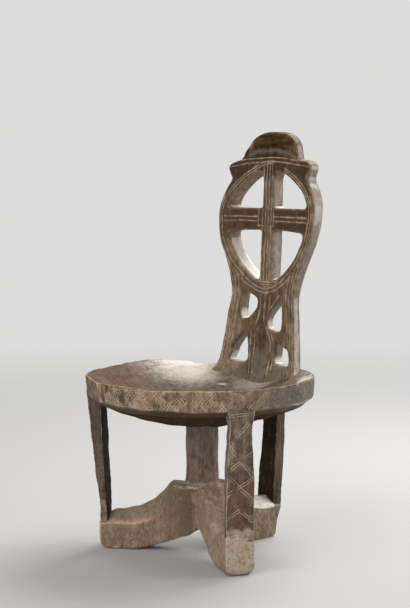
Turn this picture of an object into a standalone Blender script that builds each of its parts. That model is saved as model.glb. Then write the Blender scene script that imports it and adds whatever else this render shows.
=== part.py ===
"""A chair carved in the Ethiopian way from one log.

A round dished seat stands on a centre post and three bent legs over a
three-armed base, and carries a pierced back with a cross in an oval.
Metres, +Z up. The chair faces -Y, and left and right are those of a person
who stands in front of it and looks at it.
"""

import math

import bmesh
import bpy
from mathutils import Matrix

# Gap between neighbouring members
SEAM = 0.0003

# Seat: outer radius, height of the rim, and the dish inside it
SEAT_RADIUS = 0.198
SEAT_HEIGHT = 0.314
RIM_HEIGHT = 0.036
RIM_WALL = 0.020
RIM_EDGE = 0.010
RIM_ROUND = 0.003
DISH_DEPTH = 0.050
DISH_FLOOR = 0.041
UNDER_SWELL = 1.35

# Centre post and the flat pad above it
POST_RADIUS = 0.0285
POST_PAD = 0.004

# Base: hub, and feet that run out from it over an arch
HUB_HEIGHT = 0.127
HUB_REACH = 0.051
FOOT_ROOT_WIDTH = 0.042
FOOT_END_WIDTH = 0.050
FOOT_LIP = 0.002
FOOT_DIP = 2.5
ARCH_MARGIN = 0.053
ARCH_HEIGHT = 0.045
ARCH_CURVE = 1.5

# Legs
LEG_INSET = 0.001
LEG_SWEEP = 0.016
LEG_TOP_WIDTH = 0.040
LEG_FOOT_WIDTH = 0.049
LEG_BEND_DROP = 0.068
LEG_BEND_RISE = 0.022

# Each leg and its foot: angle from the front of the chair in degrees, height of the
# foot under the leg, depth of the leg there, and length and height of the rounded toe
LEGS = {
    "front_left": {
        "angle": -60.0,
        "foot_top": 0.073,
        "foot_depth": 0.012,
        "toe_length": 0.024,
        "toe_height": 0.030,
    },
    "front_right": {
        "angle": 61.4,
        "foot_top": 0.073,
        "foot_depth": 0.015,
        "toe_length": 0.009,
        "toe_height": 0.014,
    },
    "rear": {
        "angle": 178.7,
        "foot_top": 0.060,
        "foot_depth": 0.017,
        "toe_length": 0.024,
        "toe_height": 0.030,
    },
}

# Back: a bowed and leaning plank, with heights above the rim of the seat
BACK_THICKNESS = 0.030
BACK_INSET = 0.0065
BACK_LEAN = 0.049
BACK_FOOT_HALF = 0.0895
SILL_RISE = 0.0035
WAIST_HALF = 0.0715
WAIST_DROP = 0.007
FLARE_CURVE = 1.5
STILE_LAP = 0.044
JOIN_DROP = 0.060

# Oval, ring and cross of the upper back
OVAL_RISE = 0.276
OVAL_HALF = 0.096
OVAL_UP = 0.086
OVAL_DOWN = 0.127
OVAL_UP_FULLNESS = 0.80
OVAL_DOWN_FULLNESS = 0.66
RING_BAND = 0.015
RING_CROWN = 0.006
RING_FOOT = 0.017
RING_UP_FULLNESS = 0.70
RING_DOWN_FULLNESS = 0.55
SHOULDER_UP = 0.024
SHOULDER_FULLNESS = 0.80
ARM_DROP = 0.010
ARM_HEIGHT = 0.040
UPRIGHT_TOP_WIDTH = 0.024
UPRIGHT_FOOT_WIDTH = 0.028

# Yoke and crest
YOKE_LAP = 0.031
YOKE_DEPTH = 0.011
YOKE_ARCH = 0.010
YOKE_HALF = 0.0935
YOKE_ROUND = 0.011
CREST_HALF = 0.063
CREST_HEIGHT = 0.045
CREST_FULLNESS = 2.3
COVE_SHARE = 0.38
COVE_DEPTH = 0.004
ROLL_REACH = 0.005

# Seams of the lower back, as shares of the way from its middle to its outer edge
SPLAT_SEAM = 0.43
STILE_SEAM = 0.56

# Lower openings: each point is a share of the way from the middle to the outer edge,
# and a share of the way from the sill to the foot of the ring
UPPER_LEFT_OPENING = [
    (0.62, 0.65), (0.66, 0.95), (0.53, 1.00), (0.20, 0.92),
    (0.17, 0.80), (0.29, 0.70), (0.43, 0.63),
]
UPPER_RIGHT_OPENING = [
    (0.56, 0.93), (0.64, 0.77), (0.60, 0.53), (0.46, 0.47),
    (0.22, 0.49), (0.16, 0.57), (0.21, 0.71),
]
LOWER_LEFT_OPENING = [
    (0.80, -0.06), (0.75, 0.10), (0.70, 0.24), (0.51, 0.43),
    (0.42, 0.34), (0.37, 0.05), (0.36, -0.06),
]
LOWER_RIGHT_OPENING = [
    (0.77, -0.06), (0.78, 0.21), (0.60, 0.25), (0.41, 0.31),
    (0.36, 0.23), (0.355, -0.06),
]
# Shares at which each bridge ends inside the openings below and above it
LEFT_BRIDGE_SPAN = (0.25, 0.82)
RIGHT_BRIDGE_SPAN = (0.12, 0.70)

# Fineness of the faceted surfaces
TURN_STEPS = 64
DISH_STEPS = 8
LEG_STEPS = 12
FOOT_STEPS = 8
TOE_STEPS = 4
BOW_STEP = 0.010
EDGE_STEP = 0.009
CREST_STEPS = 8
RIM_STEPS = 2
YOKE_STEPS = 6
OPENING_STEPS = 6
WELD = 0.00001
SNAP = 0.0002
SMOOTH_ANGLE = math.radians(40)
FLAT_ANGLE = math.radians(0.5)

# Places that follow from the sizes above
RIM_BOTTOM = SEAT_HEIGHT - RIM_HEIGHT
RIM_SEAM = SEAT_RADIUS - RIM_WALL
DISH_RADIUS = SEAT_RADIUS - RIM_EDGE
DISH_UNDER = SEAT_HEIGHT - DISH_DEPTH - DISH_FLOOR
PAD_RADIUS = POST_RADIUS + POST_PAD
LEG_OUTER = SEAT_RADIUS - LEG_INSET
LEG_FOOT_OUTER = LEG_OUTER - LEG_SWEEP
FOOT_REACH = LEG_FOOT_OUTER + FOOT_LIP
ARCH_REACH = FOOT_REACH - ARCH_MARGIN
BACK_RADIUS = SEAT_RADIUS - BACK_INSET
SILL_TOP = SEAT_HEIGHT + SILL_RISE
OVAL_Z = SEAT_HEIGHT + OVAL_RISE
RING_HALF = OVAL_HALF + RING_BAND
RING_UP = OVAL_UP + RING_CROWN
RING_DOWN = OVAL_DOWN + RING_FOOT
RING_BOTTOM = OVAL_Z - RING_DOWN
WAIST_Z = RING_BOTTOM - WAIST_DROP
STILE_TOP = RING_BOTTOM + STILE_LAP
JOIN_Z = OVAL_Z - JOIN_DROP
YOKE_BOTTOM = OVAL_Z + OVAL_UP - YOKE_LAP
YOKE_TOP = OVAL_Z + RING_UP + YOKE_DEPTH
CREST_TOP = YOKE_TOP + CREST_HEIGHT
CREST_REAR = BACK_RADIUS + BACK_LEAN * (CREST_TOP - SEAT_HEIGHT)


def clear_scene():
    """Remove every object, so that the chair is built alone."""
    for old in list(bpy.data.objects):
        bpy.data.objects.remove(old, do_unlink=True)


def collection(name):
    """Add a collection to the scene."""
    group = bpy.data.collections.new(name)
    bpy.context.scene.collection.children.link(group)
    return group


def weld(mesh):
    """Merge the points of loose caps and poles."""
    work = bmesh.new()
    work.from_mesh(mesh)
    bmesh.ops.remove_doubles(work, verts=work.verts[:], dist=WELD)
    work.to_mesh(mesh)
    work.free()


def as_mesh(source):
    """Replace an object by the mesh that its curve or modifiers give."""
    bpy.context.view_layer.update()
    graph = bpy.context.evaluated_depsgraph_get()
    mesh = bpy.data.meshes.new_from_object(source.evaluated_get(graph))
    weld(mesh)
    name = source.name
    group = source.users_collection[0]
    place = source.matrix_world.copy()
    bpy.data.objects.remove(source, do_unlink=True)
    piece = bpy.data.objects.new(name, mesh)
    piece.matrix_world = place
    group.objects.link(piece)
    return piece


def turned(name, profile, group, closed=False):
    """Turn a profile of radius and height, listed down its outer side, about Z."""
    edges = [(i, i + 1) for i in range(len(profile) - 1)]
    if closed:
        edges.append((len(profile) - 1, 0))
    line = bpy.data.meshes.new(name)
    line.from_pydata([(radius, 0.0, z) for radius, z in profile], edges, [])
    piece = bpy.data.objects.new(name, line)
    group.objects.link(piece)
    screw = piece.modifiers.new("turn", "SCREW")
    screw.axis = "Z"
    screw.angle = math.tau
    screw.steps = TURN_STEPS
    screw.render_steps = TURN_STEPS
    screw.use_merge_vertices = True
    screw.merge_threshold = WELD
    piece = as_mesh(piece)
    piece.data.shade_smooth()
    piece.data.set_sharp_from_angle(angle=SMOOTH_ANGLE)
    return piece


def upright_outline(name, loops, thickness, group):
    """Cut a board from outlines in X and Z, centred on Y = 0."""
    curve = bpy.data.curves.new(name, "CURVE")
    curve.dimensions = "2D"
    curve.fill_mode = "BOTH"
    curve.extrude = thickness / 2
    for loop in loops:
        spline = curve.splines.new("POLY")
        spline.points.add(len(loop) - 1)
        for point, (x, z) in zip(spline.points, loop):
            point.co = (x, z, 0.0, 1.0)
        spline.use_cyclic_u = True
    piece = bpy.data.objects.new(name, curve)
    group.objects.link(piece)
    piece = as_mesh(piece)
    piece.data.transform(Matrix.Rotation(math.pi / 2, 4, "X"))
    return piece


def smooth_opening(name, points, thickness, group):
    """Make a cutter whose outline runs smoothly through points in X and Z."""
    curve = bpy.data.curves.new(name, "CURVE")
    curve.dimensions = "2D"
    curve.fill_mode = "BOTH"
    curve.extrude = thickness / 2
    curve.resolution_u = OPENING_STEPS
    spline = curve.splines.new("BEZIER")
    spline.bezier_points.add(len(points) - 1)
    for knot, (x, z) in zip(spline.bezier_points, points):
        knot.co = (x, z, 0.0)
        knot.handle_left_type = "AUTO"
        knot.handle_right_type = "AUTO"
    spline.use_cyclic_u = True
    cutter = bpy.data.objects.new(name, curve)
    group.objects.link(cutter)
    cutter = as_mesh(cutter)
    cutter.data.transform(Matrix.Rotation(math.pi / 2, 4, "X"))
    return as_cutter(cutter)


def as_cutter(piece):
    """Show a cutter as wire and keep it out of the picture."""
    piece.hide_render = True
    piece.display_type = "WIRE"
    return piece


def carve(piece, cutters):
    """Cut each cutter out of a piece."""
    for cutter in cutters:
        cut = piece.modifiers.new(cutter.name, "BOOLEAN")
        cut.operation = "DIFFERENCE"
        cut.solver = "EXACT"
        cut.object = cutter
    return as_mesh(piece)


def steps(start, end, count):
    """Evenly spaced values from start to end, both included."""
    return [start + (end - start) * i / count for i in range(count + 1)]


def spaced(start, end, spacing):
    """Evenly spaced values, no further apart than the spacing."""
    return steps(start, end, max(1, math.ceil(abs(end - start) / spacing)))


def smooth_share(value):
    """Ease a share from 0 to 1."""
    value = min(max(value, 0.0), 1.0)
    return value * value * (3.0 - 2.0 * value)


def mirrored(points):
    """Close a right-hand half outline with its mirror image."""
    return points + [(-x, z) for x, z in reversed(points) if x > WELD]


# Seat

def dish_top(radius):
    """Height of the dished seat, a bowl that meets the rim's edge."""
    return SEAT_HEIGHT - DISH_DEPTH * (1.0 - (radius / DISH_RADIUS) ** 2)


def dish_under(radius):
    """Height of the seat's underside, swelling down to the pad over the post."""
    share = (radius - PAD_RADIUS) / (RIM_SEAM - PAD_RADIUS)
    return DISH_UNDER + (RIM_BOTTOM - DISH_UNDER) * max(share, 0.0) ** UNDER_SWELL


def make_seat(parts):
    """The dish and the rim round it, parted by a round seam."""
    dish_edge = RIM_SEAM - SEAM / 2
    rim_inside = RIM_SEAM + SEAM / 2
    hollow = [(radius, dish_top(radius)) for radius in steps(0.0, dish_edge, DISH_STEPS)]
    swell = [(radius, dish_under(radius)) for radius in steps(dish_edge, PAD_RADIUS, DISH_STEPS)]
    dish = turned("seat_dish", hollow + swell + [(0.0, DISH_UNDER)], parts)
    corner = [
        (
            SEAT_RADIUS - RIM_ROUND + RIM_ROUND * math.sin(turn),
            SEAT_HEIGHT - RIM_ROUND + RIM_ROUND * math.cos(turn),
        )
        for turn in steps(0.0, math.pi / 2, RIM_STEPS)
    ]
    band = [(DISH_RADIUS, SEAT_HEIGHT)] + corner
    band += [(SEAT_RADIUS, RIM_BOTTOM), (rim_inside, RIM_BOTTOM)]
    band += [(rim_inside, dish_top(rim_inside))]
    rim = turned("seat_rim", band, parts, closed=True)
    return [dish, rim]


def make_seat_cutter(cutters):
    """The seat's top raised by one seam, to shape the foot of the back."""
    top = [(radius, dish_top(radius) + SEAM) for radius in steps(0.0, DISH_RADIUS, DISH_STEPS)]
    outside = SEAT_RADIUS + RIM_WALL
    below = RIM_BOTTOM - RIM_HEIGHT
    rest = [(outside, SEAT_HEIGHT + SEAM), (outside, below), (0.0, below)]
    return as_cutter(turned("seat_top_cutter", top + rest, cutters))


# Post and base

def make_post(parts):
    """Round post between the hub and the seat."""
    height = DISH_UNDER - HUB_HEIGHT - 2 * SEAM
    bpy.ops.mesh.primitive_cylinder_add(
        vertices=TURN_STEPS // 2,
        radius=POST_RADIUS,
        depth=height,
        location=(0.0, 0.0, HUB_HEIGHT + SEAM + height / 2),
    )
    post = bpy.context.object
    post.name = "center_post"
    post.data.shade_smooth()
    post.data.set_sharp_from_angle(angle=SMOOTH_ANGLE)
    for group in list(post.users_collection):
        group.objects.unlink(post)
    parts.objects.link(post)
    return post


def arch(radius):
    """Height of the base's underside, falling from the middle to the soles."""
    return ARCH_HEIGHT * max(1.0 - radius / ARCH_REACH, 0.0) ** ARCH_CURVE


def heading(leg):
    """Turn about Z that points +X along a leg's direction."""
    return math.radians(leg["angle"]) - math.pi / 2


def make_hub(parts, cutters):
    """Three-armed block, arched below."""
    half = FOOT_ROOT_WIDTH / 2
    reach = HUB_REACH - SEAM / 2
    turns = sorted(heading(leg) % math.tau for leg in LEGS.values())
    outline = []
    for turn, following in zip(turns, turns[1:] + [turns[0] + math.tau]):
        along = (math.cos(turn), math.sin(turn))
        for side in (-half, half):
            outline.append((along[0] * reach - along[1] * side, along[1] * reach + along[0] * side))
        crotch = half / math.sin((following - turn) / 2)
        middle = (turn + following) / 2
        outline.append((math.cos(middle) * crotch, math.sin(middle) * crotch))
    hub = upright_outline("base_hub", [outline], HUB_HEIGHT, parts)
    hub.data.transform(Matrix.Rotation(-math.pi / 2, 4, "X"))
    hub.data.transform(Matrix.Translation((0.0, 0.0, HUB_HEIGHT / 2)))
    dome = [(radius, arch(radius)) for radius in steps(0.0, ARCH_REACH, FOOT_STEPS)]
    dome += [(ARCH_REACH, -ARCH_HEIGHT), (0.0, -ARCH_HEIGHT)]
    return carve(hub, [as_cutter(turned("arch_cutter", dome, cutters))])


def make_foot(name, leg, parts):
    """One arm of the base, from the hub to its rounded toe, with a flat sole."""
    root = HUB_REACH + SEAM / 2
    top = leg["foot_top"]
    landing = LEG_FOOT_OUTER - leg["foot_depth"] - FOOT_LIP
    outline = []
    for share in steps(0.0, 1.0, FOOT_STEPS):
        dip = (1.0 - share) ** FOOT_DIP
        outline.append((root + (landing - root) * share, top + (HUB_HEIGHT - top) * dip))
    outline.append((FOOT_REACH, top))
    for turn in steps(0.0, math.pi / 2, TOE_STEPS):
        toe_x = FOOT_REACH - leg["toe_length"] * (1.0 - math.cos(turn))
        outline.append((toe_x, leg["toe_height"] * (1.0 - math.sin(turn))))
    outline += [(reach, arch(reach)) for reach in steps(ARCH_REACH, root, FOOT_STEPS)]
    foot = upright_outline(name, [outline], FOOT_END_WIDTH, parts)
    for point in foot.data.vertices:
        share = (point.co.x - HUB_REACH) / (FOOT_REACH - HUB_REACH)
        width = FOOT_ROOT_WIDTH + (FOOT_END_WIDTH - FOOT_ROOT_WIDTH) * share
        point.co.y *= width / FOOT_END_WIDTH
    foot.rotation_euler.z = heading(leg)
    return foot


def make_leg(name, leg, parts):
    """A flat leg that drops from the rim, bends inwards and stands on its foot."""
    top = RIM_BOTTOM - SEAM
    bottom = leg["foot_top"] + SEAM
    bend_top = top - LEG_BEND_DROP
    bend_bottom = bottom + LEG_BEND_RISE
    inner_top = RIM_SEAM + SEAM
    inner_foot = LEG_FOOT_OUTER - leg["foot_depth"]
    outer = []
    inner = []
    for z in steps(top, bottom, LEG_STEPS):
        bend = smooth_share((bend_top - z) / (bend_top - bend_bottom))
        outer.append((LEG_OUTER - LEG_SWEEP * bend, z))
        inner.append((inner_top + (inner_foot - inner_top) * bend, z))
    board = upright_outline(name, [outer + inner[::-1]], LEG_FOOT_WIDTH, parts)
    for point in board.data.vertices:
        drop = smooth_share((top - point.co.z) / (top - bend_bottom))
        width = LEG_TOP_WIDTH + (LEG_FOOT_WIDTH - LEG_TOP_WIDTH) * drop
        point.co.y *= width / LEG_FOOT_WIDTH
    board.rotation_euler.z = heading(leg)
    return board


# Outlines of the back

def egg_half(rise, half, reach, fullness):
    """Half width of an egg at a rise from its widest line."""
    return half * max(1.0 - (rise / reach) ** 2, 0.0) ** fullness


def egg_rise(x, half, reach, fullness):
    """Rise of an egg's edge above or below its widest line."""
    return reach * math.sqrt(max(1.0 - (abs(x) / half) ** (1.0 / fullness), 0.0))


def oval_half(z):
    """Half width of the oval opening."""
    if z > OVAL_Z:
        return egg_half(z - OVAL_Z, OVAL_HALF, OVAL_UP, OVAL_UP_FULLNESS)
    return egg_half(OVAL_Z - z, OVAL_HALF, OVAL_DOWN, OVAL_DOWN_FULLNESS)


def oval_crown(x):
    """Upper edge of the oval opening."""
    return OVAL_Z + egg_rise(x, OVAL_HALF, OVAL_UP, OVAL_UP_FULLNESS)


def oval_foot(x):
    """Lower edge of the oval opening."""
    return OVAL_Z - egg_rise(x, OVAL_HALF, OVAL_DOWN, OVAL_DOWN_FULLNESS)


def ring_crown(x):
    """Seam between the ring and the yoke."""
    return OVAL_Z + egg_rise(x, RING_HALF, RING_UP, RING_UP_FULLNESS)


def ring_foot(x):
    """Seam between the ring and the lower back."""
    return OVAL_Z - egg_rise(x, RING_HALF, RING_DOWN, RING_DOWN_FULLNESS)


def ring_half(z):
    """Half width of the ring at a height."""
    if z > OVAL_Z:
        return egg_half(z - OVAL_Z, RING_HALF, RING_UP, RING_UP_FULLNESS)
    return egg_half(OVAL_Z - z, RING_HALF, RING_DOWN, RING_DOWN_FULLNESS)


def outer_half(z):
    """Half width of the whole back, from its foot to its shoulders."""
    if z <= WAIST_Z:
        taper = (BACK_FOOT_HALF - WAIST_HALF) / (WAIST_Z - SEAT_HEIGHT)
        return WAIST_HALF + taper * (WAIST_Z - z)
    if z <= JOIN_Z:
        flare = ((z - WAIST_Z) / (JOIN_Z - WAIST_Z)) ** FLARE_CURVE
        return WAIST_HALF + (ring_half(JOIN_Z) - WAIST_HALF) * flare
    if z <= OVAL_Z:
        return ring_half(z)
    return egg_half(z - OVAL_Z, RING_HALF, OVAL_UP + SHOULDER_UP, SHOULDER_FULLNESS)


def yoke_top(x):
    """Arched seam between the yoke and the crest."""
    return YOKE_TOP - YOKE_ARCH * (x / YOKE_HALF) ** 2


def share_point(share, rise):
    """Point of the lower back at shares of its half width and of its height."""
    z = SILL_TOP + (RING_BOTTOM - SILL_TOP) * rise
    return (outer_half(z) * share, z)


def back_front(x, z):
    """Depth of the back's front face: round like the rim below, flat at the yoke."""
    rise = z - SEAT_HEIGHT
    fade = min(max((YOKE_TOP - z) / (YOKE_TOP - SEAT_HEIGHT), 0.0), 1.0)
    bow = BACK_RADIUS - math.sqrt(BACK_RADIUS**2 - x**2)
    return BACK_RADIUS - BACK_THICKNESS + BACK_LEAN * rise - fade * bow


def bend_board(piece, swell=None):
    """Bow a flat board to the back's sweep, after an optional swell of its front."""
    work = bmesh.new()
    work.from_mesh(piece.data)
    bmesh.ops.dissolve_limit(
        work, angle_limit=FLAT_ANGLE, verts=work.verts[:], edges=work.edges[:]
    )
    reach = max(abs(point.co.x) for point in work.verts)
    count = math.ceil(reach / BOW_STEP)
    cuts = [((i * BOW_STEP, 0.0, 0.0), (1.0, 0.0, 0.0)) for i in range(-count, count + 1)]
    if swell:
        levels = steps(YOKE_TOP - YOKE_ARCH, CREST_TOP, CREST_STEPS)
        cuts += [((0.0, 0.0, z), (0.0, 0.0, 1.0)) for z in levels]
    for place, normal in cuts:
        everything = work.verts[:] + work.edges[:] + work.faces[:]
        bmesh.ops.bisect_plane(work, geom=everything, dist=SNAP, plane_co=place, plane_no=normal)
    for point in work.verts:
        x, depth, z = point.co
        if swell and depth < 0.0:
            depth -= swell(x, z)
        point.co.y = back_front(x, z) + BACK_THICKNESS / 2 + depth
    bmesh.ops.recalc_face_normals(work, faces=work.faces[:])
    work.to_mesh(piece.data)
    work.free()
    return piece


# Members of the back

def make_sill(parts, seat_cutter):
    """Foot of the back, hollowed underneath to sit on the dished seat."""
    top = SILL_TOP - SEAM / 2
    corners = [(outer_half(RIM_BOTTOM), RIM_BOTTOM), (outer_half(top), top)]
    sill = upright_outline("back_sill", [mirrored(corners)], BACK_THICKNESS, parts)
    return carve(bend_board(sill), [seat_cutter])


def stile_outline():
    """Right-hand stile, from the sill up the outer edge and back down the ring."""
    foot = SILL_TOP + SEAM / 2
    top = STILE_TOP - SEAM / 2
    edge = [(outer_half(z), z) for z in spaced(foot, top, EDGE_STEP)]
    inside = WAIST_HALF * STILE_SEAM + SEAM / 2
    lap = ring_half(STILE_TOP)
    under_ring = [(x, ring_foot(x) - SEAM / 2) for x in spaced(lap, inside, EDGE_STEP)]
    seam = [(outer_half(z) * STILE_SEAM + SEAM / 2, z) for z in (WAIST_Z, foot)]
    return edge + under_ring + seam


def splat_outline():
    """Centre upright, stepped out under the ring to meet the stiles."""
    foot = SILL_TOP + SEAM / 2

    def side(rise):
        step = SILL_TOP + (RING_BOTTOM - SILL_TOP) * rise
        shares = [(SPLAT_SEAM, foot), (SPLAT_SEAM, step), (STILE_SEAM, step), (STILE_SEAM, WAIST_Z)]
        return [(outer_half(z) * share - SEAM / 2, z) for share, z in shares]

    right = side(RIGHT_BRIDGE_SPAN[1])
    left = [(-x, z) for x, z in side(LEFT_BRIDGE_SPAN[1])]
    half = WAIST_HALF * STILE_SEAM - SEAM / 2
    under_ring = [(x, ring_foot(x) - SEAM / 2) for x in spaced(half, -half, EDGE_STEP)]
    return right + under_ring + left[::-1]


def bridge_outline(side, span):
    """Tie between splat and stile, with ends inside the openings below and above."""
    low = SILL_TOP + (RING_BOTTOM - SILL_TOP) * span[0]
    high = SILL_TOP + (RING_BOTTOM - SILL_TOP) * span[1]
    high -= SEAM
    inner = [(outer_half(z) * SPLAT_SEAM + SEAM / 2, z) for z in (low, high)]
    outer = [(outer_half(z) * STILE_SEAM - SEAM / 2, z) for z in (high, low)]
    return [(side * x, z) for x, z in inner + outer]


def make_lower_back(parts, cutters):
    """Stiles, splat and bridges round the four lower openings."""
    depth = BACK_THICKNESS * 2

    def opening(name, side, points):
        places = [share_point(share, rise) for share, rise in points]
        return smooth_opening(name, [(side * x, z) for x, z in places], depth, cutters)

    left = [
        opening("upper_left_opening", -1, UPPER_LEFT_OPENING),
        opening("lower_left_opening", -1, LOWER_LEFT_OPENING),
    ]
    right = [
        opening("upper_right_opening", 1, UPPER_RIGHT_OPENING),
        opening("lower_right_opening", 1, LOWER_RIGHT_OPENING),
    ]
    members = [
        ("back_left_stile", [(-x, z) for x, z in stile_outline()], left),
        ("back_right_stile", stile_outline(), right),
        ("back_splat", splat_outline(), left + right),
        ("back_left_bridge", bridge_outline(-1, LEFT_BRIDGE_SPAN), left),
        ("back_right_bridge", bridge_outline(1, RIGHT_BRIDGE_SPAN), right),
    ]
    made = []
    for name, outline, openings in members:
        board = upright_outline(name, [outline], BACK_THICKNESS, parts)
        made.append(bend_board(carve(board, openings)))
    return made


def make_oval_frame(parts):
    """Egg-shaped ring, with short steps where the stiles and the yoke lap it."""
    lap = ring_half(STILE_TOP)
    outline = [(x, ring_foot(x) + SEAM / 2) for x in spaced(0.0, lap, EDGE_STEP)]
    low = STILE_TOP + SEAM / 2
    high = YOKE_BOTTOM - SEAM / 2
    outline += [(outer_half(z), z) for z in spaced(low, high, EDGE_STEP)]
    tip = ring_half(YOKE_BOTTOM)
    outline += [(x, ring_crown(x) - SEAM / 2) for x in spaced(tip, 0.0, EDGE_STEP)]
    hole = [(x, oval_foot(x)) for x in spaced(0.0, oval_half(JOIN_Z), EDGE_STEP)]
    shoulder = OVAL_Z + JOIN_DROP / 2
    hole += [(oval_half(z), z) for z in spaced(JOIN_Z, shoulder, EDGE_STEP)[1:]]
    hole += [(x, oval_crown(x)) for x in spaced(oval_half(shoulder), 0.0, EDGE_STEP)[1:]]
    loops = [mirrored(outline), mirrored(hole)]
    return bend_board(upright_outline("oval_frame", loops, BACK_THICKNESS, parts))


def upright_half(z):
    """Half width of the cross's upright, which spreads towards its foot."""
    share = (z - (OVAL_Z - OVAL_DOWN)) / (OVAL_UP + OVAL_DOWN)
    return (UPRIGHT_FOOT_WIDTH + (UPRIGHT_TOP_WIDTH - UPRIGHT_FOOT_WIDTH) * share) / 2


def make_cross(parts):
    """Upright and two arms, fitted into the oval."""
    top_half = upright_half(OVAL_Z + OVAL_UP)
    foot_half = upright_half(OVAL_Z - OVAL_DOWN)
    outline = [(x, oval_foot(x) + SEAM) for x in spaced(0.0, foot_half, EDGE_STEP)]
    outline += [(x, oval_crown(x) - SEAM) for x in spaced(top_half, 0.0, EDGE_STEP)]
    upright = upright_outline("cross_upright", [mirrored(outline)], BACK_THICKNESS, parts)
    made = [bend_board(upright)]
    middle = OVAL_Z - ARM_DROP
    heights = spaced(middle - ARM_HEIGHT / 2, middle + ARM_HEIGHT / 2, EDGE_STEP)
    tip = [(oval_half(z) - SEAM, z) for z in heights]
    root = [(upright_half(z) + SEAM, z) for z in (heights[-1], heights[0])]
    for name, side in (("cross_left_arm", -1), ("cross_right_arm", 1)):
        arm = [(side * x, z) for x, z in tip + root]
        made.append(bend_board(upright_outline(name, [arm], BACK_THICKNESS, parts)))
    return made


def make_yoke(parts):
    """Shoulder bar over the ring, with rounded ends."""
    tip = ring_half(YOKE_BOTTOM)
    outline = [(x, ring_crown(x) + SEAM / 2) for x in spaced(0.0, tip, EDGE_STEP)]
    bottom = YOKE_BOTTOM + SEAM / 2
    outline.append((outer_half(bottom), bottom))
    centre = (YOKE_HALF - YOKE_ROUND, yoke_top(YOKE_HALF) - YOKE_ROUND)
    for turn in steps(-math.pi / 4, math.pi / 2, YOKE_STEPS):
        x = centre[0] + YOKE_ROUND * math.cos(turn)
        outline.append((x, centre[1] + YOKE_ROUND * math.sin(turn)))
    over = spaced(centre[0] - YOKE_ROUND, 0.0, EDGE_STEP)
    outline += [(x, yoke_top(x) - SEAM / 2) for x in over]
    return bend_board(upright_outline("back_yoke", [mirrored(outline)], BACK_THICKNESS, parts))


def crest_swell(x, z):
    """Forward swell of the crest: a hollow cove below and a full roll above it."""
    share = (z - yoke_top(x)) / CREST_HEIGHT
    if share < COVE_SHARE:
        return -COVE_DEPTH * math.sin(math.pi * max(share, 0.0) / COVE_SHARE)
    return ROLL_REACH * math.sin(math.pi * min((share - COVE_SHARE) / (1.0 - COVE_SHARE), 1.0))


def make_crest(parts):
    """Rolled head of the back, a domed outline with a cove along its foot."""
    base = [(x, yoke_top(x) + SEAM / 2) for x in spaced(0.0, CREST_HALF, EDGE_STEP)]
    dome = []
    for turn in steps(0.0, math.pi / 2, CREST_STEPS)[1:]:
        x = CREST_HALF * math.cos(turn) ** (2.0 / CREST_FULLNESS)
        z = yoke_top(x) + CREST_HEIGHT * math.sin(turn) ** (2.0 / CREST_FULLNESS)
        dome.append((x, z))
    board = upright_outline("back_crest", [mirrored(base + dome)], BACK_THICKNESS, parts)
    return bend_board(board, crest_swell)


# Finishes: colour and roughness of the aged wood of each member
BACK_WOOD = ((0.105, 0.070, 0.047), 0.55)
BRIDGE_WOOD = ((0.120, 0.065, 0.040), 0.55)
CREST_WOOD = ((0.130, 0.082, 0.045), 0.42)
SEAT_WOOD = ((0.200, 0.155, 0.115), 0.70)
RIM_WOOD = ((0.170, 0.125, 0.080), 0.65)
LEG_WOOD = ((0.115, 0.085, 0.062), 0.65)
POST_WOOD = ((0.130, 0.092, 0.070), 0.68)
BASE_WOOD = ((0.185, 0.148, 0.115), 0.75)
FINISHES = {
    "seat_dish": SEAT_WOOD,
    "seat_rim": RIM_WOOD,
    "center_post": POST_WOOD,
    "base_hub": BASE_WOOD,
    "foot": BASE_WOOD,
    "leg": LEG_WOOD,
    "bridge": BRIDGE_WOOD,
    "crest": CREST_WOOD,
}


def finish(piece):
    """Give a member its own aged wood."""
    colour, roughness = BACK_WOOD
    for key, wood in FINISHES.items():
        if piece.name == key or piece.name.endswith("_" + key):
            colour, roughness = wood
    material = bpy.data.materials.new(piece.name + "_wood")
    material.use_nodes = True
    shader = material.node_tree.nodes["Principled BSDF"]
    shader.inputs["Base Color"].default_value = (*colour, 1.0)
    shader.inputs["Roughness"].default_value = roughness
    shader.inputs["Metallic"].default_value = 0.0
    piece.data.materials.clear()
    piece.data.materials.append(material)


def build_chair():
    """Make every member and stand the chair on the floor, centred on the origin."""
    clear_scene()
    parts = collection("ethiopian_chair")
    cutters = collection("chair_cutters")
    seat_cutter = make_seat_cutter(cutters)
    members = make_seat(parts)
    members.append(make_post(parts))
    members.append(make_hub(parts, cutters))
    for place, leg in LEGS.items():
        members.append(make_foot(place + "_foot", leg, parts))
        members.append(make_leg(place + "_leg", leg, parts))
    members.append(make_sill(parts, seat_cutter))
    members += make_lower_back(parts, cutters)
    members.append(make_oval_frame(parts))
    members += make_cross(parts)
    members.append(make_yoke(parts))
    members.append(make_crest(parts))
    stand = bpy.data.objects.new("chair_stand", None)
    stand.location.y = -(max(CREST_REAR, SEAT_RADIUS) - SEAT_RADIUS) / 2
    parts.objects.link(stand)
    for member in members:
        finish(member)
        member.parent = stand


build_chair()
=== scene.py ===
import math

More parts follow.
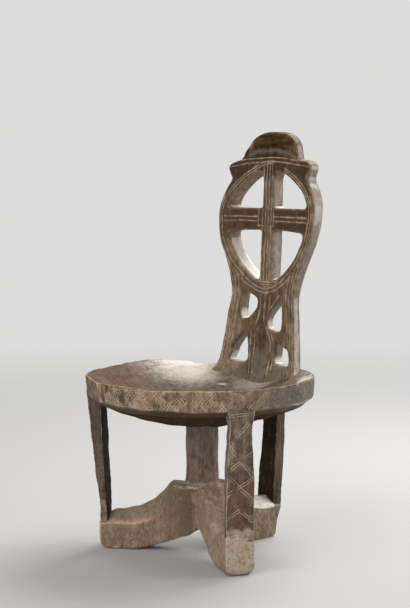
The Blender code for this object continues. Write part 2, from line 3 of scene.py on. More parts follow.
import bpy
import numpy as np
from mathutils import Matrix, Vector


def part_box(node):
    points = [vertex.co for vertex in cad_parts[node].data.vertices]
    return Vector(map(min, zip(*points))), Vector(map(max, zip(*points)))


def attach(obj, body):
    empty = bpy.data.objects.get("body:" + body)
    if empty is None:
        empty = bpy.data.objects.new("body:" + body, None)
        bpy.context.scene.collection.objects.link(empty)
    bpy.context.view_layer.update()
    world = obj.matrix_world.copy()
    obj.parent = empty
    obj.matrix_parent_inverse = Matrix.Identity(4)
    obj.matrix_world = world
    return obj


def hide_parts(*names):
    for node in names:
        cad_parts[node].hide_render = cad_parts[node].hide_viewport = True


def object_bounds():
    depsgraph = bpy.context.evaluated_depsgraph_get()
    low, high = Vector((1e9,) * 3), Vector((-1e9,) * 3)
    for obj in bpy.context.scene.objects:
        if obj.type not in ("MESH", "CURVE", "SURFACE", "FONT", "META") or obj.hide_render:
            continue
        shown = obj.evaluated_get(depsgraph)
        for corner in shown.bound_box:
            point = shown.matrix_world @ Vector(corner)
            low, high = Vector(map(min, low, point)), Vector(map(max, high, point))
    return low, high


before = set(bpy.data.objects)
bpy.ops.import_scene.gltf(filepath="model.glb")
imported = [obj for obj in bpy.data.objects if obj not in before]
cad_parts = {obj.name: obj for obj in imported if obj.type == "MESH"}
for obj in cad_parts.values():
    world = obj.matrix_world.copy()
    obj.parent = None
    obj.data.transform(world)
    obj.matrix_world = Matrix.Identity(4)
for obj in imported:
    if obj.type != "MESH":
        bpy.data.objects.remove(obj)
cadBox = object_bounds()
boxLow, boxHigh = (np.array(corner) for corner in cadBox)
rimLow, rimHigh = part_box("seat_rim")
axisY = (rimLow.y + rimHigh.y) / 2  # the seat's axis stands at x = 0
seatRadius = (rimHigh.x - rimLow.x) / 2
seatTop = rimHigh.z
rimFoot = rimLow.z
sharpFrom = 55  # degrees between faces
print("frame loaded with", len(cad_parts), "members")


class Settings(dict):  # a dictionary whose entries are also read as settings.name
    __getattr__ = dict.__getitem__


# Shared shapes

def unit(share):  # keeps a share between 0 and 1
    return np.clip(share, 0.0, 1.0)


def smooth(share):  # eases a share from 0 to 1: 3s² - 2s³
    share = unit(share)
    return share * share * (3.0 - 2.0 * share)


def ease(value, start, end, full=1.0):  # 0 up to the start, full from the end on, eased between them
    return full * smooth((value - start) / (end - start))


def bell(value, middle, reach, full=1.0):  # full · e ^ -((value - middle) / reach)²
    return full * np.exp(-(((value - middle) / reach) ** 2))


def between(value, low, high):
    return (value > low) & (value < high)


def rollOff(distance, radius):  # quarter circle: how far a rounded edge falls back, by distance from it
    inset = np.clip(radius - distance, 0.0, radius)
    return radius - np.sqrt(radius**2 - inset**2)


def softMax(first, second, blend):  # larger of two fields, with the hollow between them filled to a curve
    near = unit(1.0 - np.abs(first - second) / blend)
    return np.maximum(first, second) + near * near * blend / 4.0


def uneven(x, y, z, size, seed, waves=8):  # -1 to 1: a sum of sine waves in random directions
    draw = np.random.default_rng(seed)
    total = 0.0
    for wave in range(waves):
        turn = draw.normal(size=3)
        turn *= math.tau / (size * draw.uniform(0.7, 1.6) * np.linalg.norm(turn))
        total = total + np.sin(x * turn[0] + y * turn[1] + z * turn[2] + draw.uniform(0.0, math.tau))
    return np.clip(2.0 * total / waves, -1.0, 1.0)


def layered(x, y, z, layers, seed=0):  # sum of uneven layers, each as height, size and seed
    return sum(height * uneven(x, y, z, size, seed + more) for height, size, more in layers)


def eased(knots, at, spread=0.012):  # straight steps between knots, averaged over a short span
    spots, values = np.array(knots, float).T
    return sum(np.interp(at + spread * shift, spots, values) for shift in (-1.0, -0.5, 0.0, 0.5, 1.0)) / 5


def scratch(gap, half):  # depth of an incised line from 0 to 1: a parabola across its width
    return unit(1.0 - (gap / half) ** 2)


def chunks(count, step=4000):
    return np.array_split(np.arange(count), max(1, count // step))


def lineGap(line, x, z):  # distance from a run of straight steps, by projection on each step
    start, step = line[:-1], np.diff(line, axis=0)
    length = (step**2).sum(1)
    gap = np.empty(x.size)
    for part in chunks(x.size):
        px = x.ravel()[part, None] - start[:, 0]
        pz = z.ravel()[part, None] - start[:, 1]
        along = unit((px * step[:, 0] + pz * step[:, 1]) / length)
        gap[part] = ((px - along * step[:, 0]) ** 2 + (pz - along * step[:, 1]) ** 2).min(1)
    return np.sqrt(gap).reshape(x.shape)


# Distance from a closed line, positive where a ray to +x crosses it an odd number of times
def loopField(loop, x, z):
    line = np.concatenate([loop, loop[:1]])
    gap = lineGap(line, x, z)
    (ax, az), (bx, bz) = line[:-1].T, line[1:].T
    rise = np.where(bz == az, 1.0, bz - az)
    inside = np.empty(x.size, bool)
    for part in chunks(x.size):
        pz = z.ravel()[part, None]
        crossing = (az > pz) != (bz > pz)
        meets = ax + (pz - az) * (bx - ax) / rise
        inside[part] = (crossing & (x.ravel()[part, None] < meets)).sum(1) % 2 == 1
    return np.where(inside.reshape(x.shape), gap, -gap)


def roundedLoop(points, steps=8):  # closed Catmull-Rom curve through the points
    before, start, end, after = (np.roll(points, shift, 0)[:, None] for shift in (1, 0, -1, -2))
    share = np.linspace(0.0, 1.0, steps, endpoint=False)[None, :, None]
    curve = 2 * start + (end - before) * share
    curve = curve + (2 * before - 5 * start + 4 * end - after) * share**2
    curve = curve + (3 * start - before - 3 * end + after) * share**3
    return (curve / 2).reshape(-1, 2)


def cutSheet(field):  # triangles of a grid, cut along the line where the field passes zero
    value = np.where(np.abs(field) < 1e-5, 1e-5, field).ravel()
    spot = np.arange(field.size).reshape(field.shape)
    corners = (spot[:-1, :-1], spot[:-1, 1:], spot[1:, 1:], spot[1:, :-1])
    a, b, c, d = (corner.ravel() for corner in corners)
    triangles = np.concatenate([np.stack([a, b, c], 1), np.stack([a, c, d], 1)])
    inside = value > 0
    count = inside[triangles].sum(1)

    def turned(picked, first):
        return np.take_along_axis(picked, (first[:, None] + np.arange(3)) % 3, 1)

    one = triangles[count == 1]
    one = turned(one, inside[one].argmax(1))
    two = triangles[count == 2]
    two = turned(two, inside[two].argmin(1) + 1)
    ends = np.concatenate([one[:, [0, 1]], one[:, [0, 2]], two[:, [1, 2]], two[:, [0, 2]]])
    edges, spots = np.unique(np.sort(ends, 1), axis=0, return_inverse=True)
    spots = spots.ravel() + field.size
    near, far, side, back = np.split(spots, np.cumsum([len(one), len(one), len(two)]))
    faces = np.concatenate([
        triangles[count == 3],
        np.stack([one[:, 0], near, far], 1),
        np.stack([two[:, 0], two[:, 1], side], 1),
        np.stack([two[:, 0], side, back], 1),
    ])
    share = value[edges[:, 0]] / (value[edges[:, 0]] - value[edges[:, 1]])
    return faces, edges, share


# Two carved faces over the cut grid, joined by walls along the cut.
# A bend below 1 pulls the walls in near the top. The walls take the rear's marks at its border.
def cutBoard(fields, solid, surfaces, wallSteps=4, wallBend=1.0):
    rows = np.flatnonzero((solid > 0).any(1))
    cols = np.flatnonzero((solid > 0).any(0))
    window = np.s_[max(rows[0] - 1, 0):rows[-1] + 2, max(cols[0] - 1, 0):cols[-1] + 2]
    faces, edges, share = cutSheet(solid[window])
    used, faces = np.unique(faces, return_inverse=True)
    faces = faces.reshape(-1, 3)
    values = {}
    for key, grid in fields.items():
        flat = grid[window].ravel()
        between = flat[edges[:, 0]] + share * (flat[edges[:, 1]] - flat[edges[:, 0]])
        values[key] = np.concatenate([flat, between])[used]
    near, far, marks = surfaces(values)
    count = len(used)
    sides = np.concatenate([faces[:, [0, 1]], faces[:, [1, 2]], faces[:, [2, 0]]])
    code = np.sort(sides, 1) @ np.array([count, 1])
    first, times = np.unique(code, return_index=True, return_counts=True)[1:]
    border, rim = np.unique(sides[first[times == 1]], return_inverse=True)
    rim = rim.reshape(-1, 2)
    shares = np.linspace(0.0, 1.0, wallSteps + 1)[1:-1, None, None]
    walls = near[border] + (far[border] - near[border]) * shares ** np.array([wallBend, wallBend, 1.0])
    layers = [border] + [2 * count + len(border) * k + np.arange(len(border)) for k in range(wallSteps - 1)]
    layers.append(border + count)
    quads = []
    for upper, lower in zip(layers[:-1], layers[1:]):
        quads.append(np.stack([upper[rim[:, 1]], upper[rim[:, 0]], lower[rim[:, 0]], lower[rim[:, 1]]], 1))
    points = np.concatenate([near, far, walls.reshape(-1, 3)])
    spread = {}
    for key, (onNear, onFar) in marks.items():
        onWall = np.tile(onFar[border], wallSteps - 1)
        spread[key] = np.concatenate([onNear, onFar, onWall])
    return points, [faces, faces[:, ::-1] + count, np.concatenate(quads)], spread


# Quads between neighbouring sections, with a fan over each open end and the mean of its marks in the middle
def loftMesh(rings, marks, closedPath=False):
    stations, around = rings.shape[:2]
    spot = np.arange(stations * around).reshape(stations, around)
    beside = np.roll(spot, -1, 1)
    if closedPath:
        low, high = np.stack([spot, beside]), np.stack([np.roll(spot, -1, 0), np.roll(beside, -1, 0)])
    else:
        low, high = np.stack([spot[:-1], beside[:-1]]), np.stack([spot[1:], beside[1:]])
    quads = np.stack([low[0], low[1], high[1], high[0]], -1).reshape(-1, 4)
    points = rings.reshape(-1, 3)
    faces = [quads]
    if not closedPath:
        points = np.concatenate([points, rings[0].mean(0)[None], rings[-1].mean(0)[None]])
        hubs = np.full((2, around), stations * around) + np.array([[0], [1]])
        faces.append(np.stack([beside[0], spot[0], hubs[0]], 1))
        faces.append(np.stack([spot[-1], beside[-1], hubs[1]], 1))
    corner = points[quads]
    volume = (corner[:, 0] * np.cross(corner[:, 1] - corner[:, 0], corner[:, 2] - corner[:, 0])).sum()
    if volume < 0:
        faces = [part[:, ::-1] for part in faces]
    spread = {}
    for key, mark in marks.items():
        mark = np.broadcast_to(mark, (stations, around))
        ends = [] if closedPath else [mark[0].mean(), mark[-1].mean()]
        spread[key] = np.concatenate([mark.ravel(), ends])
    return points, faces, spread


def sectionOutline(counts, arc):  # unit section of straight sides and round corners, as places and normals
    corners = np.array([(1, -1), (1, 1), (-1, 1), (-1, -1), (1, -1)], float)
    places, turns = [], []
    for side, count in enumerate(counts):
        share = np.linspace(0.0, 1.0, count)[:, None]
        places.append(corners[side] + (corners[side + 1] - corners[side]) * share)
        turns.append(np.full(count, side * math.pi / 2))
        places.append(np.repeat(corners[side + 1][None], arc, 0))
        turns.append(side * math.pi / 2 + np.linspace(0.0, math.pi / 2, arc + 2)[1:-1])
    place, turn = np.concatenate(places), np.concatenate(turns)
    return place[:, 0], place[:, 1], np.cos(turn), np.sin(turn)


def addPiece(node, shape, slot):  # puts the arrays into a mesh that stands for one member of the frame
    points, faces, marks = shape
    points = np.clip(points, boxLow, boxHigh)  # nothing stands out of the frame's box
    name = node + "_carved"
    mesh = bpy.data.meshes.new(name)
    mesh.vertices.add(len(points))
    mesh.vertices.foreach_set("co", points.astype(np.float32).ravel())
    corners = np.concatenate([part.ravel() for part in faces])
    sizes = np.concatenate([np.full(len(part), part.shape[1]) for part in faces])
    mesh.loops.add(len(corners))
    mesh.loops.foreach_set("vertex_index", corners.astype(np.int32))
    mesh.polygons.add(len(sizes))
    mesh.polygons.foreach_set("loop_start", (np.cumsum(sizes) - sizes).astype(np.int32))
    mesh.update(calc_edges=True)
    mesh.validate()
    for key, values in marks.items():
        layer = mesh.attributes.new(key, "FLOAT", "POINT")
        layer.data.foreach_set("value", values.astype(np.float32))
    mesh.shade_smooth()
    mesh.set_sharp_from_angle(angle=math.radians(sharpFrom))
    mesh.materials.append(woods[slot])
    piece = bpy.data.objects.new(name, mesh)
    bpy.context.scene.collection.objects.link(piece)
    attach(piece, "root")
    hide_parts(node)


# Camera, light and floor

camera = Settings(
    place=(1.7893, axisY - 1.9609, 0.6915),
    heading=42.28,  # degrees from +Y towards -X
    pitch=5.4625,  # degrees down
    lens=90.66,
    sensor=36.0,
)
lens = bpy.data.cameras.new("photoCamera")
lens.lens = camera.lens
lens.sensor_width = camera.sensor
photoCamera = bpy.data.objects.new("photoCamera", lens)
photoCamera.location = camera.place
photoCamera.rotation_euler = (math.radians(90 - camera.pitch), 0.0, math.radians(camera.heading))
bpy.context.scene.collection.objects.link(photoCamera)
bpy.context.scene.camera = photoCamera
bpy.context.scene.view_settings.view_transform = "Standard"

lamps = {
    "rearKey": Settings(place=(-0.05, 1.45, 2.05), size=1.6, power=58.0, colour=(1.0, 0.98, 0.95)),
    "rightSoft": Settings(place=(1.45, 1.75, 0.85), size=1.2, power=25.0, colour=(1.0, 0.98, 0.96)),
    "frontFill": Settings(place=(0.0, -2.65, 1.45), size=2.4, power=57.0, colour=(1.0, 0.98, 0.96)),
}
aim = np.array([0.0, 0.0, 0.36])
for name, lamp in lamps.items():
    light = bpy.data.lights.new(name, "AREA")
    light.size = lamp.size
    light.energy = lamp.power
    light.color = lamp.colour
    stand = bpy.data.objects.new(name, light)
    stand.location = lamp.place
    away = np.array(lamp.place) - aim
    flat = math.hypot(away[0], away[1])
    stand.rotation_euler = (math.atan2(flat, away[2]), 0.0, math.atan2(away[0], -away[1]))
    bpy.context.scene.collection.objects.link(stand)


class Wire:  # wraps a shader socket, so that sums on sockets read as plain expressions
    def __init__(self, tree, socket=None):
        self.tree = tree
        self.socket = socket

    def node(self, kind, settings=None, sockets=None, out=0):
        made = self.tree.nodes.new(kind)
        for key, value in (settings or {}).items():
            if key == "stops":
                while len(made.color_ramp.elements) < len(value):
                    made.color_ramp.elements.new(1.0)
                for element, (spot, colour) in zip(made.color_ramp.elements, value):
                    element.position = spot
                    element.color = (*colour, 1.0)
            else:
                setattr(made, key, value)
        for key, value in (sockets or {}).items():
            if isinstance(value, Wire):
                self.tree.links.new(value.socket, made.inputs[key])
            else:
                made.inputs[key].default_value = value
        return Wire(self.tree, made.outputs[out])

    def math(self, operation, first, second):
        return self.node("ShaderNodeMath", {"operation": operation}, {0: first, 1: second})

    def __add__(self, other):
        return self.math("ADD", self, other)

    def __sub__(self, other):
        return self.math("SUBTRACT", self, other)

    def __mul__(self, other):
        return self.math("MULTIPLY", self, other)

    def ramp(self, low, high):  # eases the value from 0 at low to 1 at high
        settings = {"interpolation_type": "SMOOTHSTEP"}
        return self.node("ShaderNodeMapRange", settings, {"Value": self, 1: low, 2: high})

    def tint(self, base, colour):  # lays a colour over another by this much
        sockets = {0: self}
        for slot, value in ((6, base), (7, colour)):
            sockets[slot] = value if isinstance(value, Wire) else (*value, 1.0)
        return self.node("ShaderNodeMix", {"data_type": "RGBA"}, sockets, 2)

    def noise(self, scale, detail=4.0, rough=0.55):  # noise on this vector, scaled on each axis
        vector = self.node("ShaderNodeMapping", {}, {"Vector": self, "Scale": scale})
        sockets = {"Vector": vector, "Scale": 1.0, "Detail": detail, "Roughness": rough}
        return self.node("ShaderNodeTexNoise", {}, sockets)


stage = Settings(
    floorTone=(0.5, 0.5, 0.495),
    backTone=(0.72, 0.72, 0.715),
    ambient=(1.0, 0.99, 0.97),
    ambientLevel=0.4,
    floorRadius=9.0, rows=12, turns=96,
    fade=(0.5, 3.2),
    grain=(60.0, 60.0, 60.0), grainTone=0.97, rough=0.9,
)


def seenDirectly(wire):  # 1 for rays that show the background itself: camera, gloss and glass
    paths = [wire.node("ShaderNodeLightPath", out=name) for name in
             ("Is Camera Ray", "Is Glossy Ray", "Is Transmission Ray")]
    return paths[0].math("MAXIMUM", paths[0].math("MAXIMUM", paths[0], paths[1]), paths[2])


world = bpy.data.worlds.new("studio")
world.use_nodes = True
bpy.context.scene.world = world
sky = Wire(world.node_tree)
ambient = sky.node("ShaderNodeBackground", {}, {0: (*stage.ambient, 1.0), 1: stage.ambientLevel})
backdrop = sky.node("ShaderNodeBackground", {}, {0: (*stage.backTone, 1.0), 1: 1.0})
lit = sky.node("ShaderNodeMixShader", {}, {0: seenDirectly(sky), 1: ambient, 2: backdrop})
world.node_tree.links.new(lit.socket, world.node_tree.nodes["World Output"].inputs["Surface"])


def makeFloor():  # a disc on polar steps, radius by turn, that fades into the backdrop's tone far out
    rows, turns = stage.rows, stage.turns
    turn = np.linspace(0.0, math.tau, turns, endpoint=False)
    reach = np.linspace(0.02, 1.0, rows)[:, None] ** 2 * stage.floorRadius
    points = np.stack([reach * np.cos(turn), reach * np.sin(turn), np.zeros((rows, turns))], -1)
    spot = np.arange(rows * turns).reshape(rows, turns)
    beside = np.roll(spot, -1, 1)
    quads = np.stack([spot[:-1], spot[1:], beside[1:], beside[:-1]], -1).reshape(-1, 4)
    mesh = bpy.data.meshes.new("floor")
    mesh.from_pydata(points.reshape(-1, 3).tolist(), [], quads.tolist() + [spot[0].tolist()])
    material = bpy.data.materials.new("paleFloor")
    material.use_nodes = True
    tree = material.node_tree
    shader = tree.nodes["Principled BSDF"]
    start = Wire(tree)
    place = start.node("ShaderNodeTexCoord", out="Object")
    grain = place.noise(stage.grain, 3.0)
    tone = grain.tint(stage.floorTone, [part * stage.grainTone for part in stage.floorTone])
    tree.links.new(tone.socket, shader.inputs["Base Color"])
    shader.inputs["Roughness"].default_value = stage.rough
    away = start.node("ShaderNodeVectorMath", {"operation": "LENGTH"}, {0: place}, "Value")
    fade = away.ramp(*stage.fade) * seenDirectly(start)
    glow = start.node("ShaderNodeEmission", {}, {0: (*stage.backTone, 1.0), 1: 1.0})
    mixed = start.node("ShaderNodeMixShader", {}, {0: fade, 1: Wire(tree, shader.outputs[0]), 2: glow})
    tree.links.new(mixed.socket, tree.nodes["Material Output"].inputs["Surface"])
    mesh.materials.append(material)
    floor = bpy.data.objects.new("floor", mesh)
    bpy.context.scene.collection.objects.link(floor)


makeFloor()
print("camera, lamps and floor set")


# Woods

# Noises of every wood: scale on each axis, detail and roughness
grains = {
    "cloud": ((15.0, 15.0, 11.0), 4.0, 0.55), "patch": ((90.0, 90.0, 62.0), 5.0, 0.62),
    "speck": ((240.0, 240.0, 200.0), 2.0, 0.55), "grit": ((560.0, 560.0, 560.0), 3.0, 0.6),
}


def agedWood(name, tone):  # fibres, clouds, pits, stains, dust, worn edges and pale cuts, with painted shade and painted highlights, one over another
    material = bpy.data.materials.new(name)
    material.use_nodes = True
    tree = material.node_tree
    shader = tree.nodes["Principled BSDF"]
    start = Wire(tree)
    place = start.node("ShaderNodeTexCoord", out="Object")
    fine, long = tone.fibre
    stretch = (fine, fine, long) if tone.along == "z" else (long, fine, fine)
    fibre = place.noise(stretch, 5.0, 0.6)
    streak = place.noise([part * 3.1 for part in stretch], 4.0, 0.65)
    cloud, patch, speck, grit = (place.noise(*grain) for grain in grains.values())
    mark = {}
    for key in ("cut", "wear", "chalk", "stain", "ash", "smoke", "gloss"):
        mark[key] = start.node("ShaderNodeAttribute", {"attribute_name": key}, out="Fac")
    body = fibre * 0.35 + cloud * 0.25 + patch * tone.blotch + grit * (0.4 - tone.blotch)
    stops = [(0.4, tone.deep), (0.5, tone.body), (0.6, tone.light)]
    colour = body.node("ShaderNodeValToRGB", {"stops": stops}, {0: body})
    # darker where the marks say: handled patina, and painted shade under the seat, in the base's crease, on
    # inner faces and on the back's walls
    smoky = (mark["smoke"] + (patch - 0.5) * 1.4).ramp(0.1, 0.9) * 0.9
    colour = smoky.tint(colour, tone.smoke)
    red = (cloud * 0.6 + patch * 0.4 + mark["stain"] * 0.14).ramp(0.52, 0.66)
    colour = (red * (mark["stain"] + tone.redness)).tint(colour, tone.red)
    # greyer where the marks say, and on the rear foot the pale colour of a painted highlight
    greyAndSheenMask = (mark["ash"] + ((patch - 0.5) * 1.6 + (grit - 0.5) * 0.5) * tone.ashBreak).ramp(0.1, 1.0)
    colour = greyAndSheenMask.tint(colour, tone.ash)
    upward = start.node("ShaderNodeNewGeometry", out="Normal")
    upward = upward.node("ShaderNodeSeparateXYZ", {}, {0: upward}, "Z")
    # dust on upward faces
    paled = upward.ramp(0.25, 0.95) * (patch * 0.6 + cloud * 0.4).ramp(0.4, 0.62) * tone.dustiness
    colour = paled.tint(colour, tone.dust)
    # worn pale where the marks say; on the dish this also paints its highlight and painted light before the
    # back
    worn = mark["wear"] + (patch - 0.5) * tone.breakup + (streak - 0.5) * 0.8
    worn = worn.ramp(0.2, 1.0) * tone.wornness
    colour = worn.tint(colour, tone.worn)
    # chalk where the marks say, and painted highlights on the back's ledges and in the dish
    chalkAndHighlightMask = mark["chalk"] + ((grit - 0.5) * 1.2 + (patch - 0.5) * 1.5) * tone.chalkBreak
    chalkAndHighlightMask = chalkAndHighlightMask.ramp(0.45, 1.05)
    dirty = (grit * 0.35 + patch * 0.45 + cloud * 0.2).ramp(0.46, 0.59) * tone.dirtiness
    colour = chalkAndHighlightMask.tint(colour, dirty.tint(tone.chalk, tone.dirt))
    pale = mark["cut"] + ((patch - 0.5) * 1.1 + (grit - 0.5) * 0.9) * tone.cutBreak
    pale = pale.ramp(0.25, 0.95) * tone.cutness
    colour = pale.tint(colour, tone.cut)
    pits = (speck.ramp(0.6, 0.68) + streak.ramp(0.64, 0.72) * 0.35) * tone.pitted
    colour = pits.tint(colour, tone.pit)
    tree.links.new(colour.socket, shader.inputs["Base Color"])
    rough = (patch - 0.5) * 0.5 + (mark["cut"] * 0.12 - mark["wear"] * tone.polish) + tone.rough
    tree.links.new(rough.socket, shader.inputs["Roughness"])
    coat = mark["gloss"] * ((patch * 0.6 + cloud * 0.4).ramp(0.36, 0.56) * 0.35 + 0.65)
    tree.links.new(coat.socket, shader.inputs["Coat Weight"])
    shader.inputs["Coat Roughness"].default_value = tone.coatRough
    height = fibre * 0.4 + patch * 0.2 + grit * 0.2 - pits * 0.2
    settings = {"Height": height, "Strength": tone.relief, "Distance": 0.0016}
    bump = start.node("ShaderNodeBump", {}, settings)
    tree.links.new(bump.socket, shader.inputs["Normal"])
    shader.inputs["Specular IOR Level"].default_value = tone.shine
    return material


plainTone = Settings(
    along="z", fibre=(170.0, 11.0), redness=0.0, red=(0.2, 0.075, 0.045), dustiness=0.0,
    dust=(0.36, 0.31, 0.25), wornness=0.7, cutness=0.7, pitted=0.5, pit=(0.03, 0.02, 0.012),
    # the smoke colour darkens handled patina and paints shade on the back's walls and under the dish
    smoke=(0.042, 0.025, 0.011), ash=(0.185, 0.16, 0.135), chalk=(0.58, 0.49, 0.37),
    dirt=(0.19, 0.14, 0.092), rough=0.58, polish=0.08, relief=0.22, shine=0.12,
    coatRough=0.28, blotch=0.25, breakup=2.0, ashBreak=1.0, cutBreak=1.0, chalkBreak=1.0,
    dirtiness=0.8,
)
tones = {
    "back_wood": Settings(
        deep=(0.06, 0.038, 0.022), body=(0.13, 0.089, 0.055), light=(0.215, 0.153, 0.099),
        worn=(0.4, 0.3, 0.202), cut=(0.52, 0.42, 0.295), redness=0.12, dustiness=0.3,
        red=(0.225, 0.11, 0.06), shine=0.05, ashBreak=0.45, cutBreak=0.55, chalkBreak=0.5,
        # the chalk colour paints the highlights on the ledges of the openings
        chalk=(0.46, 0.415, 0.36), dirt=(0.34, 0.29, 0.235), dirtiness=0.4, breakup=1.4,
    ),
    "crest_wood": Settings(
        deep=(0.018, 0.009, 0.003), body=(0.056, 0.031, 0.011), light=(0.14, 0.083, 0.03),
        worn=(0.31, 0.2, 0.082), cut=(0.32, 0.23, 0.13), along="x", fibre=(230.0, 22.0),
        rough=0.55, ash=(0.125, 0.106, 0.083), wornness=0.6, shine=0.03,
    ),
    "seat_wood": Settings(
        deep=(0.085, 0.058, 0.04), body=(0.17, 0.126, 0.092), light=(0.27, 0.218, 0.17),
        # the pale worn colour also paints the highlight on the dish's far wall
        worn=(0.52, 0.455, 0.385), cut=(0.36, 0.28, 0.18), redness=0.15,
        red=(0.138, 0.076, 0.052), dustiness=0.35, dust=(0.34, 0.3, 0.255), pitted=0.2, rough=0.62,
        # the chalk colour paints the dish's highlights
        shine=0.0, fibre=(130.0, 60.0), chalk=(0.8, 0.76, 0.71), dirt=(0.46, 0.41, 0.35),
        dirtiness=0.35, chalkBreak=0.5, relief=0.12, blotch=0.1, breakup=0.7, wornness=0.92,
    ),
    "rim_wood": Settings(
        deep=(0.085, 0.054, 0.033), body=(0.195, 0.136, 0.088), light=(0.32, 0.232, 0.15),
        worn=(0.54, 0.39, 0.215), cut=(0.53, 0.425, 0.305), redness=0.3,
        red=(0.29, 0.16, 0.118), wornness=0.85, rough=0.62, pitted=0.8, cutness=0.78,
        # the smoke colour paints shade under the band and darkens its grime
        ash=(0.118, 0.108, 0.097), chalk=(0.52, 0.48, 0.43), chalkBreak=0.8, smoke=(0.062, 0.04, 0.02),
    ),
    "leg_wood": Settings(
        deep=(0.058, 0.042, 0.031), body=(0.136, 0.102, 0.078), light=(0.24, 0.188, 0.147),
        worn=(0.48, 0.375, 0.255), cut=(0.55, 0.465, 0.36), redness=0.22,
        red=(0.165, 0.075, 0.06), wornness=0.85, rough=0.6, chalk=(0.48, 0.4, 0.3),
        # the dark smoke colour paints shade on the inner faces of the legs
        dirt=(0.125, 0.094, 0.064), dirtiness=1.0, smoke=(0.024, 0.016, 0.009), shine=0.02,
    ),
    "post_wood": Settings(
        deep=(0.075, 0.055, 0.042), body=(0.15, 0.113, 0.087), light=(0.24, 0.192, 0.151),
        worn=(0.4, 0.33, 0.24), cut=(0.3, 0.25, 0.18), redness=0.1, rough=0.66,
        red=(0.27, 0.155, 0.12), fibre=(190.0, 30.0),
    ),
    "base_wood": Settings(
        deep=(0.135, 0.096, 0.061), body=(0.245, 0.18, 0.12), light=(0.355, 0.276, 0.196),
        worn=(0.5, 0.41, 0.3), cut=(0.36, 0.3, 0.22), redness=0.2, red=(0.4, 0.225, 0.165),
        dustiness=0.2, dust=(0.44, 0.39, 0.33), rough=0.55, shine=0.15,
        # the olive smoke colour paints shade in the crease before the post and on the left foot
        wornness=0.6, pitted=0.4, fibre=(230.0, 110.0), smoke=(0.115, 0.086, 0.045),
        # the pale ash colour paints the highlight on the top of the rear foot
        ash=(0.7, 0.645, 0.58), ashBreak=0.35,
    ),
}
woods = {slot: agedWood(slot, Settings(plainTone, **tone)) for slot, tone in tones.items()}
print("woods mixed:", len(woods))


# Back: one carved plank, worked out as fields over a grid of x and z

back = Settings(
    cell=0.00075, room=(0.012, 0.001, 0.0015),  # grid step, and room beside, below and above the wood
    radius=0.1915, thickness=0.03, lean=0.049,
    footHalf=0.0895, waistHalf=0.0715, waistZ=0.439, joinZ=0.53, flareCurve=1.5,
    sillTop=0.3175, sillFoot=0.279, ringBottom=0.446, stileTop=0.49,
    wider={-1: 0.0, 1: 0.001},  # left and right edge against the frame's
    waistSwell={-1: 0.0025, 1: 0.0}, footFlare={-1: 0.0035, 1: 0.0025},
    swell=(0.415, 0.045), flareTop=0.322, flareDrop=0.016,
    footForward=0.009, forwardTop=0.338, forwardDrop=0.045,
    ovalZ=0.59,
    oval=(0.096, 0.086, 0.127, 0.8, 0.66),  # half width, rise, drop, and fullness above and below
    ring=(0.111, 0.092, 0.144, 0.7, 0.55),
    shoulder=(0.111, 0.11, 0.144, 0.65, 0.55),
    armZ=0.58, armHalf=0.02, armFlare=0.006, armReach=0.034,
    uprightTop=0.0108, uprightFoot=0.014, uprightShift=-0.0014,
    yokeBottom=0.645, yokeTop=0.693, yokeArch=0.01, yokeHalf=0.0935,
    crestHeight=0.045, crestFoot=(0.05, -0.055, 0.02),
    hollow=0.0026, hollowFoot=0.06, hollowBow=0.21, hollowX=0.003, hollowHalf=0.062,
    hollowReach=0.125, roll=0.0022, rollRise=0.25,
    fillet=0.012, topFillet=(0.61, 0.65, 0.016),
    neckFillet=0.014, crestFillet=0.0042, crossFillet=0.0072,
    edgeX=(-0.05, 0.05), edge=(0.006, 0.0042), innerEdge=0.0035,
    crestEdge=0.0055, crestEdgeX=(0.01, 0.04), crestEdgeRise=0.3,
    wallSlope=0.008, slopeReach=0.013, slopeX=0.03,
    splatSlope=0.006, splatSpot=(0.012, 0.392), splatReach=0.018,
    depth=((0.3, 0.029), (0.46, 0.029), (0.53, 0.0325), (0.65, 0.0325), (0.7, 0.03), (0.74, 0.03)),
    rearEdge=((0.3, 0.01), (0.34, 0.015), (0.42, 0.016), (0.46, 0.012), (0.5, 0.008), (0.55, 0.006),
              (0.66, 0.006), (0.7, 0.01), (0.74, 0.012)),
    splatSeam=0.43, stileSeam=0.56, bridgeTop={-1: 0.82, 1: 0.7},
    hewn=((0.0006, 0.03, 11), (0.0002, 0.009, 12)), rearHewn=((0.0004, 0.024, 13),),
    # where the wall of an opening carries a painted highlight: share of its height, metres from its middle,
    # and reach
    litShare=(0.6, 0.1), litX=(0.0096, -0.0024), litReach=0.006,
)
# Ends of the yoke, as x and z in metres
yokeLeft = [(-0.086, 0.683), (-0.094, 0.6795), (-0.0975, 0.6735), (-0.095, 0.666), (-0.087, 0.657)]
yokeRight = [(0.082, 0.655), (0.0895, 0.66), (0.0935, 0.668), (0.0935, 0.677), (0.088, 0.684)]
# Outline of the crest from left to right, as x in metres and shares of its height
crestEdge = [
    (-0.0675, 0.0), (-0.064, 0.12), (-0.0575, 0.3), (-0.0494, 0.48), (-0.0405, 0.7), (-0.03, 0.85),
    (-0.0194, 0.93), (-0.005, 0.985), (0.012, 1.0), (0.028, 0.985), (0.04, 0.93), (0.05, 0.79),
    (0.0565, 0.6), (0.0595, 0.3), (0.0605, 0.0),
]
# Lower openings: shares of the half width and of the height from the sill to the ring
openings = [
    (-1, [(0.69, 0.65), (0.73, 0.95), (0.6, 1.0), (0.27, 0.92), (0.24, 0.8), (0.36, 0.7), (0.5, 0.63)]),
    (1, [(0.5, 0.93), (0.58, 0.77), (0.55, 0.53), (0.42, 0.47), (0.15, 0.49), (0.075, 0.56), (0.14, 0.7)]),
    (-1, [(0.82, -0.06), (0.79, 0.1), (0.74, 0.24), (0.54, 0.43), (0.44, 0.34), (0.38, 0.05),
          (0.37, -0.06)]),
    (1, [(0.775, -0.06), (0.785, 0.2), (0.6, 0.26), (0.39, 0.32), (0.34, 0.23), (0.33, -0.06)]),
]
